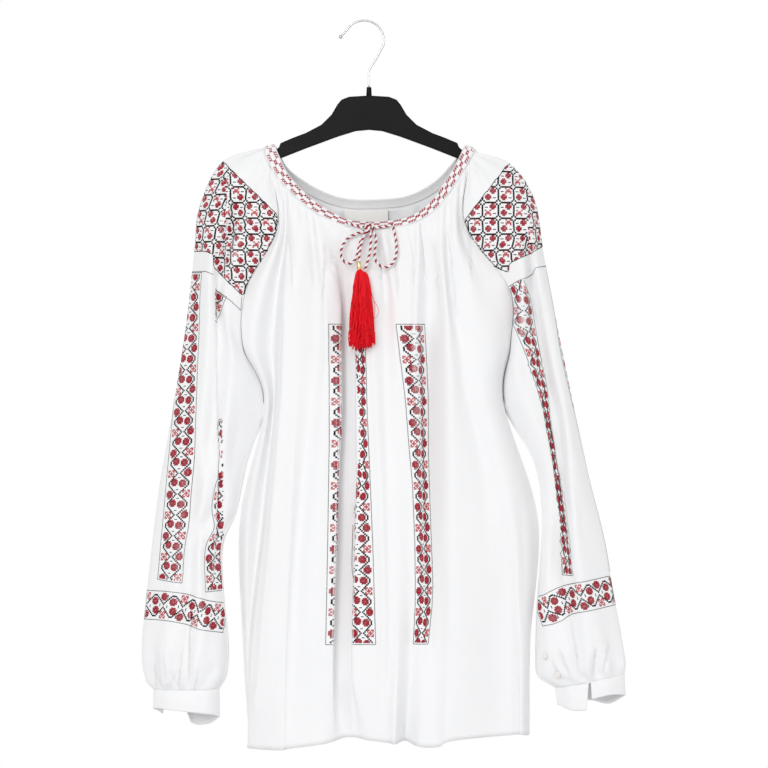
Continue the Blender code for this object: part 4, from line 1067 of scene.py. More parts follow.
FRONT_TUCKS = (
    (11.0, 3.2, -4.0, -92.0, -250, -96.0, -334, -97.2, -394, -99.6, -454, -104.4, -514,
     -110.4, -574, -121.0, -690, -134.0, -830),
    (5.0, 3.2, 2.5, -92.0, -246, -88.0, -274, -84.0, -330),
    (4.0, 2.6, -2.5, -63.6, -254, -61.0, -286, -58.0, -336),
    (3.6, 2.6, 2.5, -47.0, -256, -46.0, -286, -50.0, -350),
    (3.2, 2.3, -2.5, -36.0, -256, -37.0, -290, -39.0, -330),
    (4.0, 3.2, 2.5, 14.0, -256, 19.0, -290, 24.0, -350),
    (3.6, 2.6, -2.5, 33.6, -256, 38.0, -292, 41.0, -340),
    (3.6, 2.3, 2.5, 54.0, -254, 58.0, -284, 60.0, -326),
    (3.4, 2.2, -2.5, 68.4, -250, 72.0, -280, 76.0, -320),
    (4.4, 2.9, 2.5, 80.0, -246, 86.0, -290, 92.0, -370),
    (4.6, 3.2, -2.5, 98.0, -238, 104.0, -290, 112.0, -370),
    (4.0, 2.6, 2.5, 122.0, -224, 126.0, -262, 128.0, -320),
)
RIGHT_TUCKS = (
    (10.0, 2.6, 4.0, 196.8, -268, 199.2, -334, 206.4, -358, 217.2, -419, 223.2, -472, 229.2, -526,
     240.0, -574, 250.8, -663),
    (7.0, 2.6, -3.0, 246.0, -700, 252.0, -740, 260.0, -792),
    (5.5, 2.8, -2.5, 232.0, -748, 239.0, -764, 247.0, -786),
    (5.0, 2.6, 2.5, 275.4, -744, 275.0, -764, 272.0, -788),
    (5.0, 2.4, 2.5, 292.0, -740, 290.0, -758, 284.0, -784),
    (4.5, 2.2, -2.5, 224.0, -762, 230.0, -774, 238.0, -790),
)


def creased(grid, table, side, columns=slice(None)):
    """The grid with soft creases along the lines of a table; side is -1 for the front, 1 behind."""
    moved = grid.copy()
    part = moved[:, columns]
    for width, height, *line in table:
        ends = np.array(line, dtype=float).reshape(-1, 2)
        length = along(ends)
        best = np.full(part.shape[:2], np.inf)
        share = np.zeros(part.shape[:2])
        spot = part[..., [0, 2]]
        for k in range(len(ends) - 1):
            run = ends[k + 1] - ends[k]
            t = np.clip(((spot - ends[k]) @ run) / (run @ run), 0, 1)
            off = np.linalg.norm(spot - ends[k] - t[..., None] * run, axis=-1)
            nearer = off < best
            best = np.where(nearer, off, best)
            share = np.where(nearer, (length[k] + t * (length[k + 1] - length[k])) / length[-1], share)
        inner = np.clip(share * (1 - 2 * CREASE_ENDS) + CREASE_ENDS, 0, 1)
        fade = np.sin(math.pi * inner) ** CREASE_SOFTNESS
        part[..., 1] += side * height * np.exp(-(best / width) ** 2) * fade
    moved[:, columns] = part
    return moved


def tucked(grid, table, side, columns=slice(None)):
    """The grid with tucks along lines: the cloth rises to the line and drops sharply past it."""
    moved = grid.copy()
    part = moved[:, columns]
    for width, height, drop, *line in table:
        ends = np.array(line, dtype=float).reshape(-1, 2)
        order = np.argsort(-ends[:, 1])
        z = part[..., 2]
        past = part[..., 0] - np.interp(-z, -ends[order, 1], ends[order, 0])
        past *= math.copysign(1.0, drop)
        top, bottom = ends[:, 1].max(), ends[:, 1].min()
        reach = min(TUCK_FADE, TUCK_FADE_SHARE * (top - bottom))
        fade = np.clip(np.minimum(top - z, z - bottom) / reach, 0, 1)
        fade = fade * fade * (3 - 2 * fade)
        rise = np.where(past < 0, np.exp(past / width), 0.0) * height
        fall = np.where(past >= 0, np.exp(-past / abs(drop)), 0.0) * height * -TUCK_DROP
        part[..., 1] += side * (rise + fall) * fade
    moved[:, columns] = part
    return moved


# The inverted pleat down the middle of the front: height, then where its two edges meet the eye.
PLEAT_EDGES = np.array((
    (-330.0, -26.0, -10.0), (-380.0, -26.4, -9.6), (-470.0, -26.0, -9.6), (-550.0, -30.0, -8.6),
    (-622.0, -32.0, -10.4), (-690.0, -34.5, -13.0), (-760.0, -36.0, -14.0), (-840.0, -36.0, -13.0),
))
PLEAT_WALL = (
    # share of the way from ridge to valley, inward from the edge, share of the depth
    (0.0, None, 0.0), (0.22, -5.0, 0.02), (0.34, -0.6, 0.08), (0.42, 0.0, 0.17), (0.52, -1.2, 0.34),
    (0.66, -2.2, 0.62), (0.80, -1.0, 0.86), (0.90, 2.4, 0.97), (1.0, None, 1.0),
)
# The grid's columns at the pleat's left ridge, its valley and its right ridge.
PLEAT_LEFT, PLEAT_VALLEY, PLEAT_RIGHT = (FRONT_COLUMN_STEPS * k for k in (6, 7, 8))
PLEAT_KEPT = 0.66
PLEAT_WALL_STEPS = 6
PLEAT_BEGINS, PLEAT_FULL, PLEAT_EASES, PLEAT_ENDS = -285.0, -345.0, -790.0, -866.0


def inverted_pleat(grid):
    """The front with the walls of its middle valley turned under, so they hide from the front."""
    moved = grid.copy()
    steps = np.arange(FRONT_COLUMN_STEPS + 1)
    for row in moved:
        z = row[PLEAT_VALLEY, 2]
        full = np.interp(-z, (-PLEAT_BEGINS, -PLEAT_FULL, -PLEAT_EASES, -PLEAT_ENDS), (0, 1, 1, 0))
        if full == 0:
            continue
        for ridge, column, inward in ((PLEAT_LEFT, 1, 1), (PLEAT_RIGHT, 2, -1)):
            edge = np.interp(-z, -PLEAT_EDGES[:, 0], PLEAT_EDGES[:, column])
            crest, floor = row[ridge].copy(), row[PLEAT_VALLEY].copy()
            knots = []
            for share, off, depth in PLEAT_WALL:
                x = edge + inward * off if off is not None else (crest[0] if share == 0 else floor[0])
                knots.append((share, x, crest[1] + (floor[1] - crest[1]) * depth * PLEAT_KEPT))
            fine = curved(knots, PLEAT_WALL_STEPS)
            wall = read_off(fine[:, 1:], fine[:, 0], steps / FRONT_COLUMN_STEPS)
            columns = ridge + steps * inward
            row[columns, :2] = row[columns, :2] * (1 - full) + wall * full
    return moved


# How deep and how far in from the stitching a seam draws the cloth, and how fast that fades.
SEAM_DEPTH = 1.1
SEAM_WIDTH = 7.0
SEAM_FADE = 1.5


def seamed(grid, outward):
    """The grid drawn in a little along the seams at its first and last column."""
    across = laid_out(grid)[0]
    drawn = sum(np.exp(-(away / SEAM_WIDTH) ** SEAM_FADE)
                for away in (across, across[:, -1:] - across))
    return grid - grid_normals(grid) * outward * (SEAM_DEPTH * np.minimum(drawn, 1))[..., None]


BAND_ROWS = 7
BAND_FULLNESS = 0.9


def neckband_grid():
    """The neckband from its upper to its lower edge, a little full between them."""
    upper, lower = neck_edges()
    share = np.linspace(0, 1, BAND_ROWS)[:, None, None]
    grid = upper[None] * (1 - share) + lower[None] * share
    closed_ring = np.concatenate([grid[:, -1:], grid, grid[:, :1]], axis=1)
    outward = grid_normals(closed_ring)[:, 1:-1]
    return grid + outward * np.sin(math.pi * share) ** 0.5 * BAND_FULLNESS


def folded_sleeve(grid, tucks, creases, outward):
    """A sleeve with its tucks and creases in front, and every other crease on its back too."""
    ahead, behind = slice(0, SLEEVE_MIDDLE), slice(SLEEVE_MIDDLE + 1, None)
    grid = creased(tucked(grid, tucks, -1, ahead), creases, -1, ahead)
    return seamed(creased(grid, creases[::2], 1, behind), outward)


front = front_grid()
back = back_grid(front)
left = sleeve_grid(LEFT_SLEEVE, front, back, -1)
right = sleeve_grid(RIGHT_SLEEVE, front, back, 1)
# The cuffs hang from the sleeves as they lie before the folds press into them.
left_cuff = cuff_grid(left, LEFT_CUFF_OPENS, LEFT_CUFF_EDGE)
right_cuff = cuff_grid(right, RIGHT_CUFF_OPENS, RIGHT_CUFF_EDGE)
front = creased(inverted_pleat(front), FRONT_CREASES, -1)
front = seamed(tucked(front, FRONT_TUCKS, -1), 1)
back = seamed(creased(back, BACK_CREASES, 1), -1)
left = folded_sleeve(left, LEFT_TUCKS, LEFT_SLEEVE_CREASES, -1)
right = folded_sleeve(right, RIGHT_TUCKS, RIGHT_SLEEVE_CREASES, 1)
band_grid = neckband_grid()


def sheet_size(grid):
    """The area of a grid of points, in square metres."""
    across = np.linalg.norm(np.cross(grid[1:, 1:] - grid[:-1, :-1], grid[1:, :-1] - grid[:-1, 1:]),
                            axis=2)
    return float(across.sum()) / 2 * MM * MM


PANELS = (
    # piece, points, solid, faces turned round, width and length of the cut that shows in metres
    ("front_panel", front, "front_body", False, 0.56, 0.69),
    ("back_panel", back, "back_body", True, 0.45, 0.69),
    ("left_sleeve", left, "sleeve_left", True, 0.36, 0.70),
    ("right_sleeve", right, "sleeve_right", False, 0.36, 0.70),
)
for panel_name, panel_grid, solid, flip, cut_width, cut_length in PANELS:
    made_panel = cloth_piece(panel_name, panel_grid, cotton, "cotton", solid, flip=flip)
    round(min(sheet_size(panel_grid), cut_width * cut_length), 3)

# The sewn seams stand a little proud of the cloth.
WELT_RADIUS = 0.8
WELT_POINTS, WELT_SIDES = 150, 6
SEAM_ROWS = sum(SLEEVE_SEAM_STEPS) + 1
seam_lines = [front[:, 0], front[:, -1], back[:SEAM_ROWS, 0], back[:SEAM_ROWS, -1],
              left[SEAM_ROWS - 1:, 0], right[SEAM_ROWS - 1:, 0], left[-1], right[-1]]
welts = tubes([evenly(line, WELT_POINTS) for line in seam_lines], WELT_RADIUS, WELT_SIDES)
piece("seam_welts", *welts, [seam_thread], "cotton")

neck_casing = cloth_piece("neck_casing", band_grid, cotton, "cotton", "neckband", wall=BAND,
                          closed=True)
CUFF_WIDTH, CUFF_LENGTH = 0.20, 0.033
for cuff_name, cuff, solid, flip in (("left_wrist", left_cuff, "cuff_left", True),
                                     ("right_wrist", right_cuff, "cuff_right", False)):
    wrist = cloth_piece(cuff_name, cuff, cotton, "cotton", solid, wall=BAND, flip=flip)
    round(min(sheet_size(cuff), CUFF_WIDTH * CUFF_LENGTH), 4)

# Needlework

# Needlework is placed on the cloth by height, at these steps, and by distance round it.
LEVEL_STEP = 2.0
EDGE_MARGIN = 1.6
STITCH = 1.78
PANEL_STITCH = 1.89
STRIP_HALF = 17.2


class Ground:
    """A piece of cloth as rows of points at even heights, on which needlework is placed."""

    def __init__(self, grid, outward, middle=None):
        tall = np.minimum.accumulate(grid[..., 2], axis=0)
        self.top = float(tall.max())
        heights = np.arange(self.top, float(tall.min()), -LEVEL_STEP)
        both = np.concatenate([grid, grid_normals(grid) * outward], axis=2)
        self.rows = np.zeros((len(heights), grid.shape[1], 6))
        for c in range(grid.shape[1]):
            for k in range(6):
                self.rows[:, c, k] = np.interp(heights, tall[::-1, c], both[::-1, c, k])
        run = np.linalg.norm(np.diff(self.rows[..., :2], axis=1), axis=2)
        self.arc = np.hstack([np.zeros((len(heights), 1)), np.cumsum(run, axis=1)])
        self.middle = middle
        if middle is not None:
            self.arc -= self.arc[:, middle:middle + 1]

    def across(self, x, z, behind=False):
        """How far round the cloth a place seen at x and height z lies."""
        row = int(np.clip(round((self.top - z) / LEVEL_STEP), 0, len(self.rows) - 1))
        columns = slice(None)
        if self.middle is not None:
            columns = slice(self.middle, None) if behind else slice(0, self.middle + 1)
        xs = self.rows[row, columns, 0]
        order = np.argsort(xs)
        low, high = sorted((self.arc[row, 0], self.arc[row, -1]))
        spot = np.interp(x, xs[order], self.arc[row, columns][order])
        return float(np.clip(spot, low + EDGE_MARGIN, high - EDGE_MARGIN))

    def place(self, spots):
        """Points and outward directions at places given as distance round and height."""
        s, z = spots[:, 0], spots[:, 1]
        level = np.clip((self.top - z) / LEVEL_STEP, 0, len(self.rows) - 1.001)
        low = level.astype(int)
        share = level - low
        out = np.zeros((len(s), 6))
        for row in np.unique(low):
            mine = low == row
            for step, weight in ((0, 1 - share[mine]), (1, share[mine])):
                arc = self.arc[row + step]
                for k in range(6):
                    out[mine, k] += weight * np.interp(s[mine], arc, self.rows[row + step, :, k])
        return out[:, :3], out[:, 3:] / np.maximum(np.linalg.norm(out[:, 3:], axis=1,
                                                                  keepdims=True), 1e-9)

    def on_cloth(self, spots):
        """Which places lie between the piece's two edges."""
        level = np.clip(np.round((self.top - spots[:, 1]) / LEVEL_STEP), 0, len(self.rows) - 1)
        level = level.astype(int)
        low, high = self.arc[level, 0], self.arc[level, -1]
        return (spots[:, 0] > np.minimum(low, high) + 1) & (spots[:, 0] < np.maximum(low, high) - 1)


class Guide:
    """A line on the cloth beside which rows of stitches run."""

    def __init__(self, spots, shift=0.0, level=False):
        spots = curved(spots)
        self.length = along(spots) if not level else spots[0, 1] - spots[:, 1]
        ahead = np.gradient(spots, axis=0)
        if level:
            ahead[:, 0] = 0
        ahead /= np.linalg.norm(ahead, axis=1, keepdims=True)
        self.aside = np.column_stack([-ahead[:, 1], ahead[:, 0]])
        self.spots = spots + self.aside * shift

    def at(self, a, b):
        """The places a across and b along the line."""
        spot = read_off(self.spots, self.length, b)
        aside = read_off(self.aside, self.length, b)
        past = np.maximum(b - self.length[-1], 0) + np.minimum(b, 0)
        ahead = np.column_stack([aside[:, 1], -aside[:, 0]])
        return spot + aside * np.asarray(a)[:, None] + ahead * past[:, None]


class Between:
    """Rows of stitches that fill a strip as it is seen between its two edges."""

    LEVELS = 80

    def __init__(self, ground, lefts, rights, behind=False):
        lefts, rights = np.array(lefts, dtype=float), np.array(rights, dtype=float)
        top, bottom = lefts[0, 1], lefts[-1, 1]
        self.top = top
        self.level = np.linspace(0, top - bottom, self.LEVELS)
        self.low, self.high = ([ground.across(np.interp(down - top, -edge[:, 1], edge[:, 0]),
                                              top - down, behind) for down in self.level]
                               for edge in (lefts, rights))

    def at(self, a, b):
        """The places a across, between the two edges, and b down from the top."""
        low, high = np.interp(b, self.level, self.low), np.interp(b, self.level, self.high)
        share = (np.asarray(a) / STRIP_HALF + 1) / 2
        return np.column_stack([low + (high - low) * share, self.top - b])


sewn = {}


def keep_stitches(work, colour, points, faces):
    """Adds stitches to the needlework of one piece in one colour."""
    group = sewn.setdefault((work, colour), {"points": [], "faces": [], "count": 0})
    for face in faces:
        group["faces"].append(face + group["count"])
    group["points"].append(points)
    group["count"] += len(points)


# How far in from a thread's ends its crest begins, as a share of its length.
CREST_INSET = 0.12


def laid_threads(start, end, up, width, height, lift):
    """Short raised threads from start to end, each a closed ridge lying on the cloth."""
    run = end - start
    side = np.cross(run, up)
    side *= width / 2 / np.maximum(np.linalg.norm(side, axis=1, keepdims=True), 1e-9)
    base = up * lift
    crest = up * (lift + height)
    corners = np.stack([start + base + side, start + base - side, end + base - side,
                        end + base + side, start + run * CREST_INSET + crest,
                        end - run * CREST_INSET + crest], axis=1)
    first = (np.arange(len(start)) * 6)[:, None]
    quads = np.concatenate([first + np.array(q) for q in ((0, 3, 2, 1), (0, 4, 5, 3), (1, 2, 5, 4))])
    tris = np.concatenate([first + np.array(t) for t in ((0, 1, 4), (2, 3, 5))])
    return corners.reshape(-1, 3), (quads, tris)


# What each letter of a chart is sewn with, and how wide and long a bar of its cross is, as shares
# of a stitch. The second bar lies over the first. A dash is one flat stitch.
THREAD = {"R": "red", "P": "pink", "K": "black"}
BAR_WIDTH = {"R": 0.68, "P": 0.6, "K": 0.88}
BAR_LENGTH = {"R": 1.0, "P": 1.0, "K": 0.94}
BAR_HEIGHTS = (0.13, 0.19)
DASH_WIDTH, DASH_HEIGHT = 0.7, 0.2
# Where a stitch starts above the middle of the cloth: just under its face.
CLOTH_FACE = CLOTH / 2 - 0.04


def cross_stitch(work, ground, guide, chart, columns, rows, pitch=STITCH, wanted=None, size=1.0,
                 lift=CLOTH_FACE):
    """Crosses over the cells of a repeating chart, beside a guide line."""
    letters = np.array([list(row) for row in chart])
    r, c = (part.ravel() for part in np.mgrid[rows[0]:rows[1], columns[0]:columns[1]])
    letter = letters[r % letters.shape[0], c % letters.shape[1]]
    a, b = c * pitch, (r + 0.5) * pitch
    middle = guide.at(a, b)
    live = (letter != ".") & ground.on_cloth(middle)
    if wanted is not None:
        live &= wanted(ground.place(middle)[0])
    for mark in np.unique(letter[live]):
        own = live & (letter == mark)
        if mark == "-":
            half = pitch * 0.5
            ends = [guide.at(a[own] + k * half, b[own]) for k in (-1, 1)]
            (p, up), (q, _) = (ground.place(spot) for spot in ends)
            keep_stitches(work, "black", *laid_threads(p, q, up, pitch * DASH_WIDTH,
                                                       pitch * DASH_HEIGHT, lift))
            continue
        half = pitch * size * BAR_LENGTH[mark] / 2
        for height, slant in zip(BAR_HEIGHTS, (1, -1)):
            (p, up), (q, _) = (ground.place(guide.at(a[own] + k * half, b[own] + k * slant * half))
                               for k in (-1, 1))
            keep_stitches(work, THREAD[mark], *laid_threads(p, q, up, pitch * BAR_WIDTH[mark],
                                                            pitch * height, lift))


RUNNING_STEP = 1.5
RUNNING_HEIGHT = 0.4


def running_line(work, ground, spots, sway=0.32, width=1.0, wanted=None, cover=0.72):
    """A fine black outline of small running stitches that zigzags a little about its line."""
    spots = np.array(spots, dtype=float)
    count = max(2, int(along(spots)[-1] / RUNNING_STEP))
    line = evenly(spots, count + 1)
    ahead = np.gradient(line, axis=0)
    ahead /= np.maximum(np.linalg.norm(ahead, axis=1, keepdims=True), 1e-9)
    aside = np.column_stack([-ahead[:, 1], ahead[:, 0]])
    line = line + aside * (sway * (-1.0) ** np.arange(count + 1))[:, None]
    start, end = line[:-1], line[:-1] + (line[1:] - line[:-1]) * cover
    live = ground.on_cloth(start) & ground.on_cloth(end)
    if wanted is not None:
        live &= wanted(ground.place(start)[0])
    if not live.any():
        return
    (p, up), (q, _) = ground.place(start[live]), ground.place(end[live])
    keep_stitches(work, "black", *laid_threads(p, q, up, width, width * RUNNING_HEIGHT, CLOTH_FACE))


def inside(outline):
    """A test of whether points lie within an outline seen from the front."""
    corners = np.array(outline, dtype=float)

    def test(points):
        x, z = points[:, 0], points[:, 2]
        within = np.zeros(len(points), dtype=bool)
        for (x1, z1), (x2, z2) in zip(corners, np.roll(corners, -1, axis=0)):
            crosses = (z1 > z) != (z2 > z)
            at = x1 + (z - z1) * (x2 - x1) / (z2 - z1 if z2 != z1 else 1e-9)
            within ^= crosses & (x < at)
        return within

    return test


def chart_from(width, height, marks):
    """An empty chart with motifs written in at their columns and rows, wrapping round."""
    cells = [["."] * width for _ in range(height)]
    for column, row, motif in marks:
        for i, line in enumerate(motif):
            for j, mark in enumerate(line):
                if mark != ".":
                    cells[(row + i) % height][(column + j) % width] = mark
    return ["".join(line) for line in cells]


ROSE = (".RRR.", "RRRRR", "RRPRR", "RRRRR", ".RRR.")
STAR = ("PP.PP", "P.P.P", ".PPP.", "P.P.P", "PP.PP")
# A leaf between the flowers: two flat stitches in a row.
LEAF = ("--",)
SMALL_ROSE = (".RR.", "RRPR", "RRRR", ".RR.")
SMALL_STAR = ("P..P", ".PP.", "PPPP", "P..P")
# How far each vine lies from the strip's middle column, row by row.
VINE_REACH = (1, 2, 3, 4, 5, 6, 7, 7, 7, 6, 5, 4, 3, 2)
STRIP_COLUMNS = 19
STRIP_MIDDLE = STRIP_COLUMNS // 2
STRIP_REPEAT = 2 * len(VINE_REACH)


def vine_chart():
    """Two mirrored vines with roses in their eyes, and a rose facing a star at each crossing."""
    marks = []
    for row in range(STRIP_REPEAT):
        reach = VINE_REACH[row % len(VINE_REACH)]
        marks += [(STRIP_MIDDLE - reach, row, ("K",)), (STRIP_MIDDLE + reach, row, ("K",))]
    for row, (on_left, on_right) in ((0, (ROSE, STAR)), (len(VINE_REACH), (STAR, ROSE))):
        marks += [(1, row - 2, on_left), (13, row - 2, on_right)]
        marks += [(4, row + 4, ROSE), (10, row + 5, ROSE)]
        marks += [(9, row + 3, LEAF), (8, row + 11, LEAF)]
    marks += [(2, 3, LEAF), (15, 11, LEAF)]
    return chart_from(STRIP_COLUMNS, STRIP_REPEAT, marks)


TRELLIS = 10


def trellis_chart():
    """Rounded squares of black dots, holding two roses or a rose and a star by turns."""
    marks = []
    for i in range(2):
        for j in range(2):
            x, y = i * TRELLIS, j * TRELLIS
            marks += [(x + k, y, ("K",)) for k in range(2, 9)]
            marks += [(x, y + k, ("K",)) for k in range(2, 9)]
            marks += [(x + c, y + r, ("K",)) for c in (1, 9) for r in (1, 9)]
            pair = (SMALL_ROSE, SMALL_STAR) if j else (SMALL_STAR, SMALL_ROSE)
            high, low = (SMALL_ROSE, SMALL_ROSE) if (i + j) % 2 else pair
            marks += [(x + 5, y + 1, high), (x + 2, y + 5, low)]
            marks += [(x + 2, y + 3, LEAF), (x + 7, y + 7, LEAF)]
    return chart_from(2 * TRELLIS, 2 * TRELLIS, marks)


VINE = vine_chart()
LATTICE = trellis_chart()


def band_between(lefts, rights):
    """An outline seen from the front, between two lines given from the top down."""
    return inside(list(lefts) + list(rights)[::-1])


# How many rows before a crossing of the vines a strip begins.
STRIP_BEGINS = 9
STRIP_END_STOPS = 12


def strip(work, ground, guide, rows, wanted=None, mirrored=False):
    """A strip of the vine pattern with its outline, beside a guide line down its middle."""
    shifted = [VINE[(k - STRIP_BEGINS) % STRIP_REPEAT] for k in range(STRIP_REPEAT)]
    centred = [row[STRIP_MIDDLE:] + row[:STRIP_MIDDLE] for row in shifted]
    if mirrored:
        centred = [row[:1] + row[:0:-1] for row in centred]
    cross_stitch(work, ground, guide, centred, (-STRIP_MIDDLE, STRIP_MIDDLE + 1), (1, rows - 1),
                 wanted=wanted)
    end = rows * STITCH
    down = np.linspace(0, end, max(8, rows // 4))
    for side in (-STRIP_HALF, STRIP_HALF):
        running_line(work, ground, guide.at(np.full(len(down), side), down), wanted=wanted)
    over = np.linspace(-STRIP_HALF, STRIP_HALF, STRIP_END_STOPS)
    for level in (0.0, end):
        running_line(work, ground, guide.at(over, np.full(len(over), level)), wanted=wanted)


CHAIN = ("R.R", "R.R", "R.R", ".R.", ".R.")
CHAIN_STITCH = 3.35
CHAIN_CROSS = 0.96
CHAIN_LIFT = BAND / 2 - 0.2


class BandGround:
    """The neckband as places along it and across it."""

    def __init__(self, grid):
        closed = np.concatenate([grid, grid[:, :1]], axis=1)
        outward = np.concatenate([closed[:, -2:-1], closed, closed[:, 1:2]], axis=1)
        self.points = np.concatenate([closed, grid_normals(outward)[:, 1:-1]], axis=2)
        self.length = along(closed[len(grid) // 2])
        self.height = float(np.mean(np.linalg.norm(grid[-1] - grid[0], axis=1)))

    def place(self, spots):
        """Points and outward directions at places given as distance down and along."""
        share = np.clip(0.5 + spots[:, 0] / self.height, 0, 1) * (len(self.points) - 1)
        low = np.minimum(share.astype(int), len(self.points) - 2)
        part = (share - low)[:, None]
        rows = np.stack([read_off(row, self.length, spots[:, 1]) for row in self.points])
        pick = np.arange(len(spots))
        out = rows[low, pick] * (1 - part) + rows[low + 1, pick] * part
        return out[:, :3], out[:, 3:] / np.linalg.norm(out[:, 3:], axis=1, keepdims=True)

    def on_cloth(self, spots):
        """Which places lie between the band's first and last point."""
        return (spots[:, 1] > 0) & (spots[:, 1] < self.length[-1])


class StraightGuide:
    """Rows counted along the neckband itself."""

    def at(self, a, b):
        """The places a down from the band's middle and b along it."""
        return np.column_stack([a, b])


band_ground = BandGround(band_grid)
links = round(band_ground.length[-1] / (CHAIN_STITCH * len(CHAIN)))
cross_stitch("neck", band_ground, StraightGuide(), [row[1:] + row[:1] for row in CHAIN], (-1, 2),
             (0, links * len(CHAIN)), pitch=band_ground.length[-1] / (links * len(CHAIN)),
             size=CHAIN_CROSS, lift=CHAIN_LIFT)

# Each strip's edges as seen from the front, in x and z, and the line past which it lies hidden in
# the pleat.
LEFT_STRIP = ((-41.6, -364.2), (-41.0, -454.2), (-40.8, -502.2), (-42.6, -622.2), (-45.0, -744.0))
LEFT_STRIP_HIDES = ((-26.2, -350.0), (-26.2, -470.0), (-30.4, -550.0), (-32.2, -622.0),
                    (-34.6, -690.0), (-37.6, -760.0))
MIDDLE_STRIP_EDGES = (
    ((-10.8, -364.2), (-10.8, -392.2), (-8.8, -426.2), (-6.8, -466.2), (-5.8, -506.2),
     (-7.6, -538.2), (-10.8, -570.2), (-12.8, -602.2), (-14.0, -642.2), (-14.2, -744.0)),
    ((0.6, -364.2), (2.2, -394.2), (4.1, -472.2), (7.2, -538.2), (10.8, -628.2), (14.2, -744.0)),
)
MIDDLE_STRIP_HIDES = ((-10.0, -350.0), (-10.0, -392.2), (-6.0, -466.2), (-5.0, -506.2),
                      (-6.8, -538.2), (-10.0, -570.2), (-12.2, -600.0), (-18.0, -612.0),
                      (-18.0, -760.0))
LEFT_STRIP_WIDTH = 26.0
RIGHT_STRIP_EDGES = (
    ((38.4, -364.2), (42.6, -400.0), (49.2, -454.2), (54.0, -514.2), (57.6, -550.2),
     (60.6, -622.2), (61.2, -670.2), (61.0, -700.0), (58.8, -744.0)),
    ((72.0, -364.2), (74.4, -400.0), (76.8, -454.2), (76.8, -514.2), (78.0, -550.2),
     (80.4, -622.2), (82.2, -670.2), (81.0, -700.0), (76.2, -744.0)),
)
FRONT_STRIP_ROWS = 213
# Upright lines well clear of the left and the middle strip, on the side where nothing hides them.
LEFT_STRIP_CLEAR = ((-60.0, -350.0), (-60.0, -760.0))
MIDDLE_STRIP_CLEAR = ((30.0, -350.0), (30.0, -760.0))


def edge_by(ground, points, behind=False):
    """Points seen at x and z as places on the cloth."""
    return [(ground.across(x, z, behind), z) for x, z in points]


front_ground = Ground(front, 1)
left_far = [(x + LEFT_STRIP_WIDTH, z) for x, z in LEFT_STRIP]
strip("front", front_ground, Between(front_ground, LEFT_STRIP, left_far), FRONT_STRIP_ROWS,
      wanted=band_between(LEFT_STRIP_CLEAR, LEFT_STRIP_HIDES))
strip("front", front_ground, Between(front_ground, *MIDDLE_STRIP_EDGES), FRONT_STRIP_ROWS,
      wanted=band_between(MIDDLE_STRIP_HIDES, MIDDLE_STRIP_CLEAR))
strip("front", front_ground, Between(front_ground, *RIGHT_STRIP_EDGES), FRONT_STRIP_ROWS)

# The shoulder panels' outlines as seen from the front; past their outer edges they run on behind.
LEFT_PANEL = ((-169.2, -160.0), (-169.2, -168.6), (-98.4, -238.2), (-96.0, -254.0),
              (-105.6, -276.6), (-145.2, -329.4), (-179.3, -295.8), (-179.3, -280.2),
              (-189.6, -276.6), (-230.0, -274.8), (-230.0, -160.0))
RIGHT_PANEL = ((173.6, -160.0), (173.6, -170.5), (119.8, -240.1), (122.0, -252.6), (139.2, -276.6),
               (157.2, -295.8), (172.1, -301.8), (174.0, -291.0), (200.4, -278.4), (213.6, -270.0),
               (240.0, -260.2), (240.0, -160.0))
PANEL_BOTTOM = -340.0
PANEL_COLUMNS = (-60, 61)
PANEL_ROWS = (-10, 100)
PANEL_OUTLINE_STOPS = 90
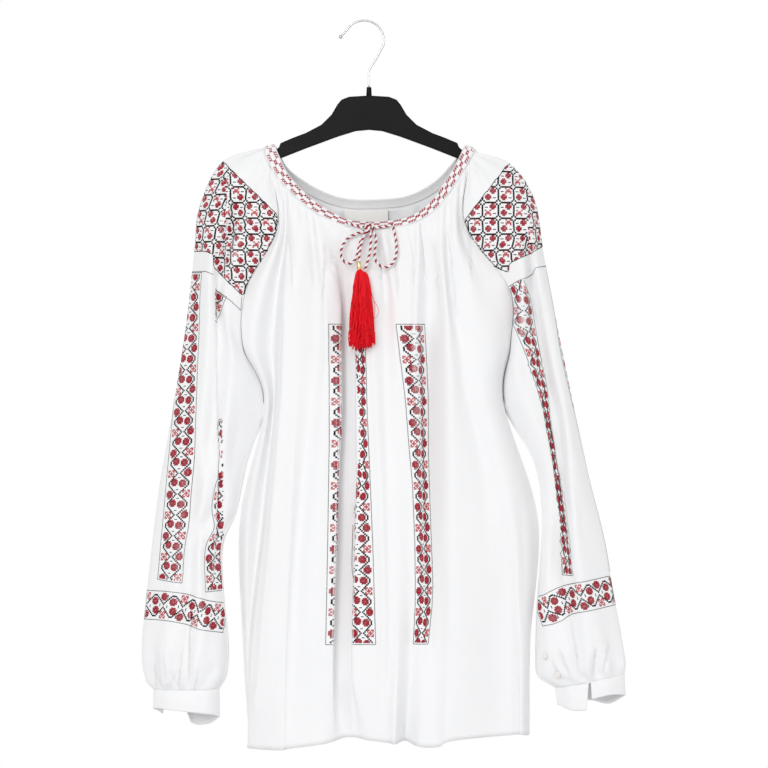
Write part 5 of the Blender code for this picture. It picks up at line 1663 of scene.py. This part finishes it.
# For each sleeve: the panel, the fold between its two lattices, the line that the inner lattice
# follows and the height that the outer one starts from; strips that hang from a line, to one side
# of it, with their rows and the outline that shows; strips seen between two edges, with the
# outline that shows; the strip over the outside; lone lines; and the middle of the band above the
# cuff.
SLEEVE_WORK = {
    "left": {
        "grid": left, "side": -1, "panel": LEFT_PANEL, "fold": -164.5,
        "lattice": ((-140.8, -140.8), (-161.2, PANEL_BOTTOM)), "edge_top": -170.0,
        "seen_strips": (),
        "outer_strip": ((-193.2, -301.8), (-195.6, -334.2), (-198.0, -402.6), (-200.4, -472.2),
                        (-206.4, -563.4), (-216.0, -655.8), (-217.2, -672.2)),
        "lines": (((-205.8, -300.6), (-188.0, -300.8), (-179.4, -304.6)),
                  ((-177.4, -321.6), (-161.0, -334.0), (-146.6, -347.4)),
                  ((-145.8, -330.4), (-146.6, -347.4))),
        "strips": (
            (-1, 116, ((-174.0, -478.2), (-174.0, -540.6), (-180.5, -593.4), (-189.6, -681.0)),
             ((-210, -470), (-168.6, -470), (-168.6, -690), (-210, -690))),
            (1, 20, ((-163.6, -331.0), (-169.0, -345.0), (-176.4, -362.0)),
             ((-177.6, -320.0), (-160.0, -330.0), (-174.0, -364.0), (-177.6, -364.0))),
        ),
        "band": ((-165.0, -715.8), (-190.2, -711.0), (-209.4, -704.4), (-231.6, -700.2),
                 (-258.0, -699.6)),
    },
    "right": {
        "grid": right, "side": 1, "panel": RIGHT_PANEL, "fold": 196.0,
        "lattice": ((160.0, 160.0), (-161.2, PANEL_BOTTOM)), "edge_top": -172.0,
        "lines": (((172.8, -318.6), (188.4, -310.2), (201.6, -304.2), (205.8, -295.8),
                   (218.6, -293.4)),),
        "outer_strip": ((218.6, -294.0), (222.5, -313.0), (229.2, -358.2), (238.2, -412.2),
                        (330.0, -520.0), (330.0, -660.0)),
        "strips": (),
        "seen_strips": (
            (((171.5, -306.0), (173.6, -319.8), (175.2, -355.2), (193.2, -400.2), (205.2, -436.2),
              (214.2, -466.2), (218.4, -490.2), (224.4, -520.2), (230.4, -564.6), (235.8, -604.2),
              (237.6, -664.2)),
             ((187.5, -306.0), (190.2, -313.2), (199.2, -334.2), (208.2, -385.2), (218.4, -436.2),
              (222.0, -472.2), (225.6, -496.2), (230.4, -526.2), (237.6, -568.2), (241.2, -598.2),
              (250.2, -664.2)),
             ((172.0, -320.0), (188.4, -311.4), (199.0, -306.0), (270.0, -306.0), (270.0, -690.0),
              (150.0, -690.0), (150.0, -320.0))),
        ),
        "band": ((204.0, -708.0), (222.0, -704.0), (238.0, -695.6), (253.2, -690.4),
                 (297.6, -682.2)),
    },
}


def work_sleeve(name, facts):
    """Both faces of a sleeve: the shoulder panel, the lengthwise strips and the band above the cuff."""
    side = facts["side"]
    ground = Ground(facts["grid"], side, SLEEVE_MIDDLE)
    panel = inside(facts["panel"])
    xs, zs = facts["lattice"]
    for behind in (False, True):
        body_side = Guide([(ground.across(x, z, behind), z) for x, z in
                           zip(np.linspace(*xs, 8), np.linspace(*zs, 8))], level=True)
        edge_side = Guide([(0.0, facts["edge_top"]), (0.0, PANEL_BOTTOM)])
        for guide, past in ((body_side, 1), (edge_side, -1)):
            def half(points, back_face=behind, way=-side * past):
                return (panel(points) & ((points[:, 1] > 0) == back_face)
                        & ((points[:, 0] - facts["fold"]) * way > 0))
            cross_stitch(name, ground, guide, LATTICE, PANEL_COLUMNS, PANEL_ROWS,
                         pitch=PANEL_STITCH, wanted=half)
        outline = edge_by(ground, evenly(np.array(facts["panel"][1:-1]), PANEL_OUTLINE_STOPS), behind)
        running_line(name, ground, outline, sway=0.15, width=1.1, cover=0.9)
        for line in facts["lines"]:
            running_line(name, ground, edge_by(ground, line, behind), sway=0.2)
        for marked, rows, points, clip in facts["strips"]:
            shift = -marked * STRIP_HALF * (1 if (side > 0) != behind else -1)
            strip(name, ground, Guide(edge_by(ground, points, behind), shift), rows,
                  wanted=inside(clip), mirrored=side < 0)
        for lefts, rights, clip in facts["seen_strips"]:
            rows = int((lefts[0][1] - lefts[-1][1]) / STITCH)
            strip(name, ground, Between(ground, lefts, rights, behind), rows, wanted=inside(clip))
        guide = Guide(edge_by(ground, facts["band"], behind) + [(0.0, facts["band"][-1][1])])
        strip(name, ground, guide, int(guide.length[-1] / STITCH))
    seam = Guide([(ground.across(x, z) + STRIP_HALF, z) for x, z in facts["outer_strip"]])
    strip(name, ground, seam, int(seam.length[-1] / STITCH), mirrored=side < 0)


for sleeve_name, sleeve_facts in SLEEVE_WORK.items():
    work_sleeve(sleeve_name, sleeve_facts)

THREAD_FINISHES = {"red": red_thread, "pink": pink_thread, "black": black_thread}
for (work, colour), group in sewn.items():
    faces = [face for block in group["faces"] for face in block.tolist()]
    piece(f"stitches_{work}_{colour}", np.vstack(group["points"]), faces, [THREAD_FINISHES[colour]],
          "cotton")

# Label, buttons, hanger

LABEL_SIZE = (53.0, 30.0)
LABEL_CENTRE_X = 2.5
LABEL_WALL = 0.4
LABEL_POINTS = (60, 36)
LABEL_BOW = 0.25
LABEL_RIPPLE = 0.2
low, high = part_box("neck_label")
label_y = (low.y + high.y) / 2 / MM
label_top = high.z / MM - LABEL_WALL
u, v = np.meshgrid(np.linspace(-0.5, 0.5, LABEL_POINTS[0]), np.linspace(0, 1, LABEL_POINTS[1]))
label_swell = LABEL_RIPPLE * np.sin(9.0 * u + 3.0 * v) * v - LABEL_BOW * np.cos(5.0 * u)
label_grid = np.stack([LABEL_CENTRE_X + u * LABEL_SIZE[0], label_y + label_swell,
                       label_top - v * LABEL_SIZE[1]], axis=-1)
label = cloth_piece("bare_label", label_grid, ribbon, "ribbon", "neck_label", wall=LABEL_WALL)

TURNED_COLUMNS = 32
BUTTON_PROFILE = (
    # radius and height above the middle, from the middle of the back to the middle of the face
    (0.0, -1.2), (2.6, -1.2), (3.8, -0.5), (4.0, 0.1), (3.7, 0.7), (3.2, 0.95), (2.9, 0.75),
    (2.2, 0.9), (1.1, 1.15), (0.0, 1.25),
)


def button(name):
    """A small domed pearl button with a sunk rim, facing as its solid does."""
    low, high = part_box(name)
    centre = (low + high) / 2
    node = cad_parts[name]
    points = np.array([v.co for v in node.data.vertices])
    spread = points - points.mean(axis=0)
    axis = np.linalg.svd(spread, full_matrices=False)[2][2]
    if axis @ np.array((0.0, math.copysign(1.0, centre.y), 0.0)) < 0:
        axis = -axis
    turn = np.array(Vector(axis).to_track_quat("Z", "Y").to_matrix())
    placed = turned(BUTTON_PROFILE, TURNED_COLUMNS) @ turn.T + np.array(centre) / MM
    faces = grid_faces(len(BUTTON_PROFILE), TURNED_COLUMNS, closed=True)
    made = piece(name + "_pearl", placed, faces, [pearl], "pearl")
    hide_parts(name)


for button_name in ("button_left_1", "button_left_2", "button_right_1", "button_right_2"):
    button(button_name)

# Half of the hanger's outline as distance from its centre line and height, top edge out to the tip
# and back along the underside.
HANGER_HALF = (
    (0, -89), (24, -90.5), (33, -94), (38, -100), (45, -112), (57, -124), (76, -134), (92, -140),
    (106, -146), (108, -151), (111, -153.8), (120, -154.4), (127, -159.7), (140, -168.5),
    (154, -176.0), (164, -183), (170, -189), (167, -194), (156, -190), (143, -183), (108, -165),
    (75, -152), (37, -138), (16, -131.5), (0, -130),
)
HANGER_CENTRE_X = 6.0
HANGER_HALF_THICKNESS = 4.5
HANGER_EDGE_ROUND = 1.4
HANGER_EDGE_STEPS = 4


def hanger_bar():
    """The flat moulded bar with rounded edges."""
    curve = bpy.data.curves.new("moulded_bar", "CURVE")
    curve.dimensions = "2D"
    curve.fill_mode = "BOTH"
    curve.extrude = (HANGER_HALF_THICKNESS - HANGER_EDGE_ROUND) * MM
    curve.bevel_depth = HANGER_EDGE_ROUND * MM
    curve.bevel_resolution = HANGER_EDGE_STEPS
    curve.offset = -HANGER_EDGE_ROUND * MM
    outline = [(-x, z) for x, z in HANGER_HALF[::-1]] + list(HANGER_HALF[1:-1])
    spline = curve.splines.new("POLY")
    spline.points.add(len(outline) - 1)
    for place, (x, z) in zip(spline.points, outline):
        place.co = (x * MM, z * MM, 0.0, 1.0)
    spline.use_cyclic_u = True
    made = bpy.data.objects.new("moulded_bar", curve)
    made.data.materials.append(plastic)
    made.rotation_euler = (math.pi / 2, 0.0, 0.0)
    made.location = (HANGER_CENTRE_X * MM, 0.0, 0.0)
    bpy.context.scene.collection.objects.link(made)
    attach(made, "root")
    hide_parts("hanger_bar")


hanger_bar()

# The hook's stem rises from the collar and bends into an arc between two angles in degrees.
HOOK_RADIUS = 1.2
HOOK_BEND_RADIUS = 24.0
HOOK_STEM = ((6.0, 0.0, -78.0), (6.0, 0.0, -64.0), (6.4, 0.0, -58.0), (15.0, 0.0, -44.0))
HOOK_BEND = (-14.0, 148.0)
HOOK_TIP = np.array((-28.0, 0.0, -18.4))
HOOK_STEM_STEPS = (8, 4, 8, 6)
HOOK_ARC_POINTS = 28
HOOK_POINTS = 110
HOOK_SIDES = 20
BALL_RADIUS = 2.4
BALL_ROWS, BALL_COLUMNS = 17, 24


def hook():
    """The bent wire hook with its ball end, in one mesh."""
    centre_z = HOOK_RADIUS - HOOK_BEND_RADIUS
    arc = [(HOOK_BEND_RADIUS * math.cos(a), 0.0, centre_z + HOOK_BEND_RADIUS * math.sin(a))
           for a in np.radians(np.linspace(*HOOK_BEND, HOOK_ARC_POINTS))]
    bend = catmull_rom(HOOK_STEM + (arc[0],), HOOK_STEM_STEPS)
    line = np.vstack([bend[:-1], arc, curved((arc[-1], HOOK_TIP))[1:]])
    wire = tubes([evenly(line, HOOK_POINTS)], HOOK_RADIUS, HOOK_SIDES)
    ball = turned([(BALL_RADIUS * math.sin(t), BALL_RADIUS * math.cos(t))
                   for t in np.linspace(0, math.pi, BALL_ROWS)], BALL_COLUMNS) + HOOK_TIP
    ball_faces = grid_faces(BALL_ROWS, BALL_COLUMNS, closed=True)
    made = piece("wire_hook", *joined(wire, (ball, ball_faces)), [chrome], "hook_chrome")
    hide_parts("hanger_hook")


hook()

COLLAR_PROFILE = (
    # radius and height
    (0.0, -88.7), (3.2, -88.7), (3.5, -88.2), (3.3, -87.4), (3.1, -83.0), (2.95, -79.4),
    (2.6, -78.7), (1.2, -78.6),
)


def collar():
    """The moulded collar that holds the hook's stem."""
    points = turned(COLLAR_PROFILE, TURNED_COLUMNS) + (HANGER_CENTRE_X, 0.0, 0.0)
    faces = grid_faces(len(COLLAR_PROFILE), TURNED_COLUMNS, closed=True)
    faces.append(list(range(len(points) - TURNED_COLUMNS, len(points))))
    made = piece("moulded_collar", points, faces, [plastic], "hanger_plastic")
    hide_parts("hook_collar")


collar()

# Floor and light

scene = bpy.context.scene
scene.view_settings.view_transform = "Standard"

# In metres: the blouse hangs above a round pale floor.
FLOOR_HEIGHT = -1.12
FLOOR_RADIUS = 1.15
floor_mesh = bpy.data.meshes.new("floor")
floor_shape = bmesh.new()
bmesh.ops.create_circle(floor_shape, cap_ends=True, segments=96, radius=FLOOR_RADIUS)
floor_shape.to_mesh(floor_mesh)
floor_shape.free()
floor = bpy.data.objects.new("floor", floor_mesh)
floor.location = (CAMERA_PLACE[0], 0.0, FLOOR_HEIGHT)
floor_finish = Finish("pale floor", (0.86, 0.86, 0.87), 0.8)
floor_mesh.materials.append(floor_finish.material)
scene.collection.objects.link(floor)

# A white wall far behind the blouse, and a dimmer room on the side it is seen from.
WALL_LIGHT = 1.0
WALL_SHARPNESS, WALL_BEGINS = 2.5, 0.25
ROOM_LIGHT = 0.56
CEILING_LIGHT = 0.14

world = bpy.data.worlds.new("studio")
sky = Tree(world)
_, sky_y, sky_z = sky.parts(sky.node("ShaderNodeTexCoord", {}, {}, "Generated"))
behind_share = (sky_y * WALL_SHARPNESS - WALL_BEGINS).clamped()
brightness = ROOM_LIGHT + CEILING_LIGHT * sky_z.clamped()
brightness = brightness + behind_share * (WALL_LIGHT - brightness)
sky.feed(sky.nodes["Background"].inputs["Strength"], brightness)
sky.feed(sky.nodes["Background"].inputs["Color"], (1.0, 1.0, 1.0))
scene.world = world

LIGHTS = (
    # name, place, aims at, size, watts
    ("front softbox", (-0.7, -2.6, 0.35), (0.0, 0.0, -0.45), 1.3, 33.0),
    ("side softbox", (2.2, -1.5, 0.2), (0.0, 0.0, -0.45), 0.9, 8.0),
)
for light_name, light_place, aim, light_size, watts in LIGHTS:
    lamp = bpy.data.lights.new(light_name, "AREA")
    lamp.size = light_size
    lamp.energy = watts
    lit = bpy.data.objects.new(light_name, lamp)
    lit.location = light_place
    lit.rotation_euler = (Vector(aim) - Vector(light_place)).to_track_quat("-Z", "Y").to_euler()
    scene.collection.objects.link(lit)
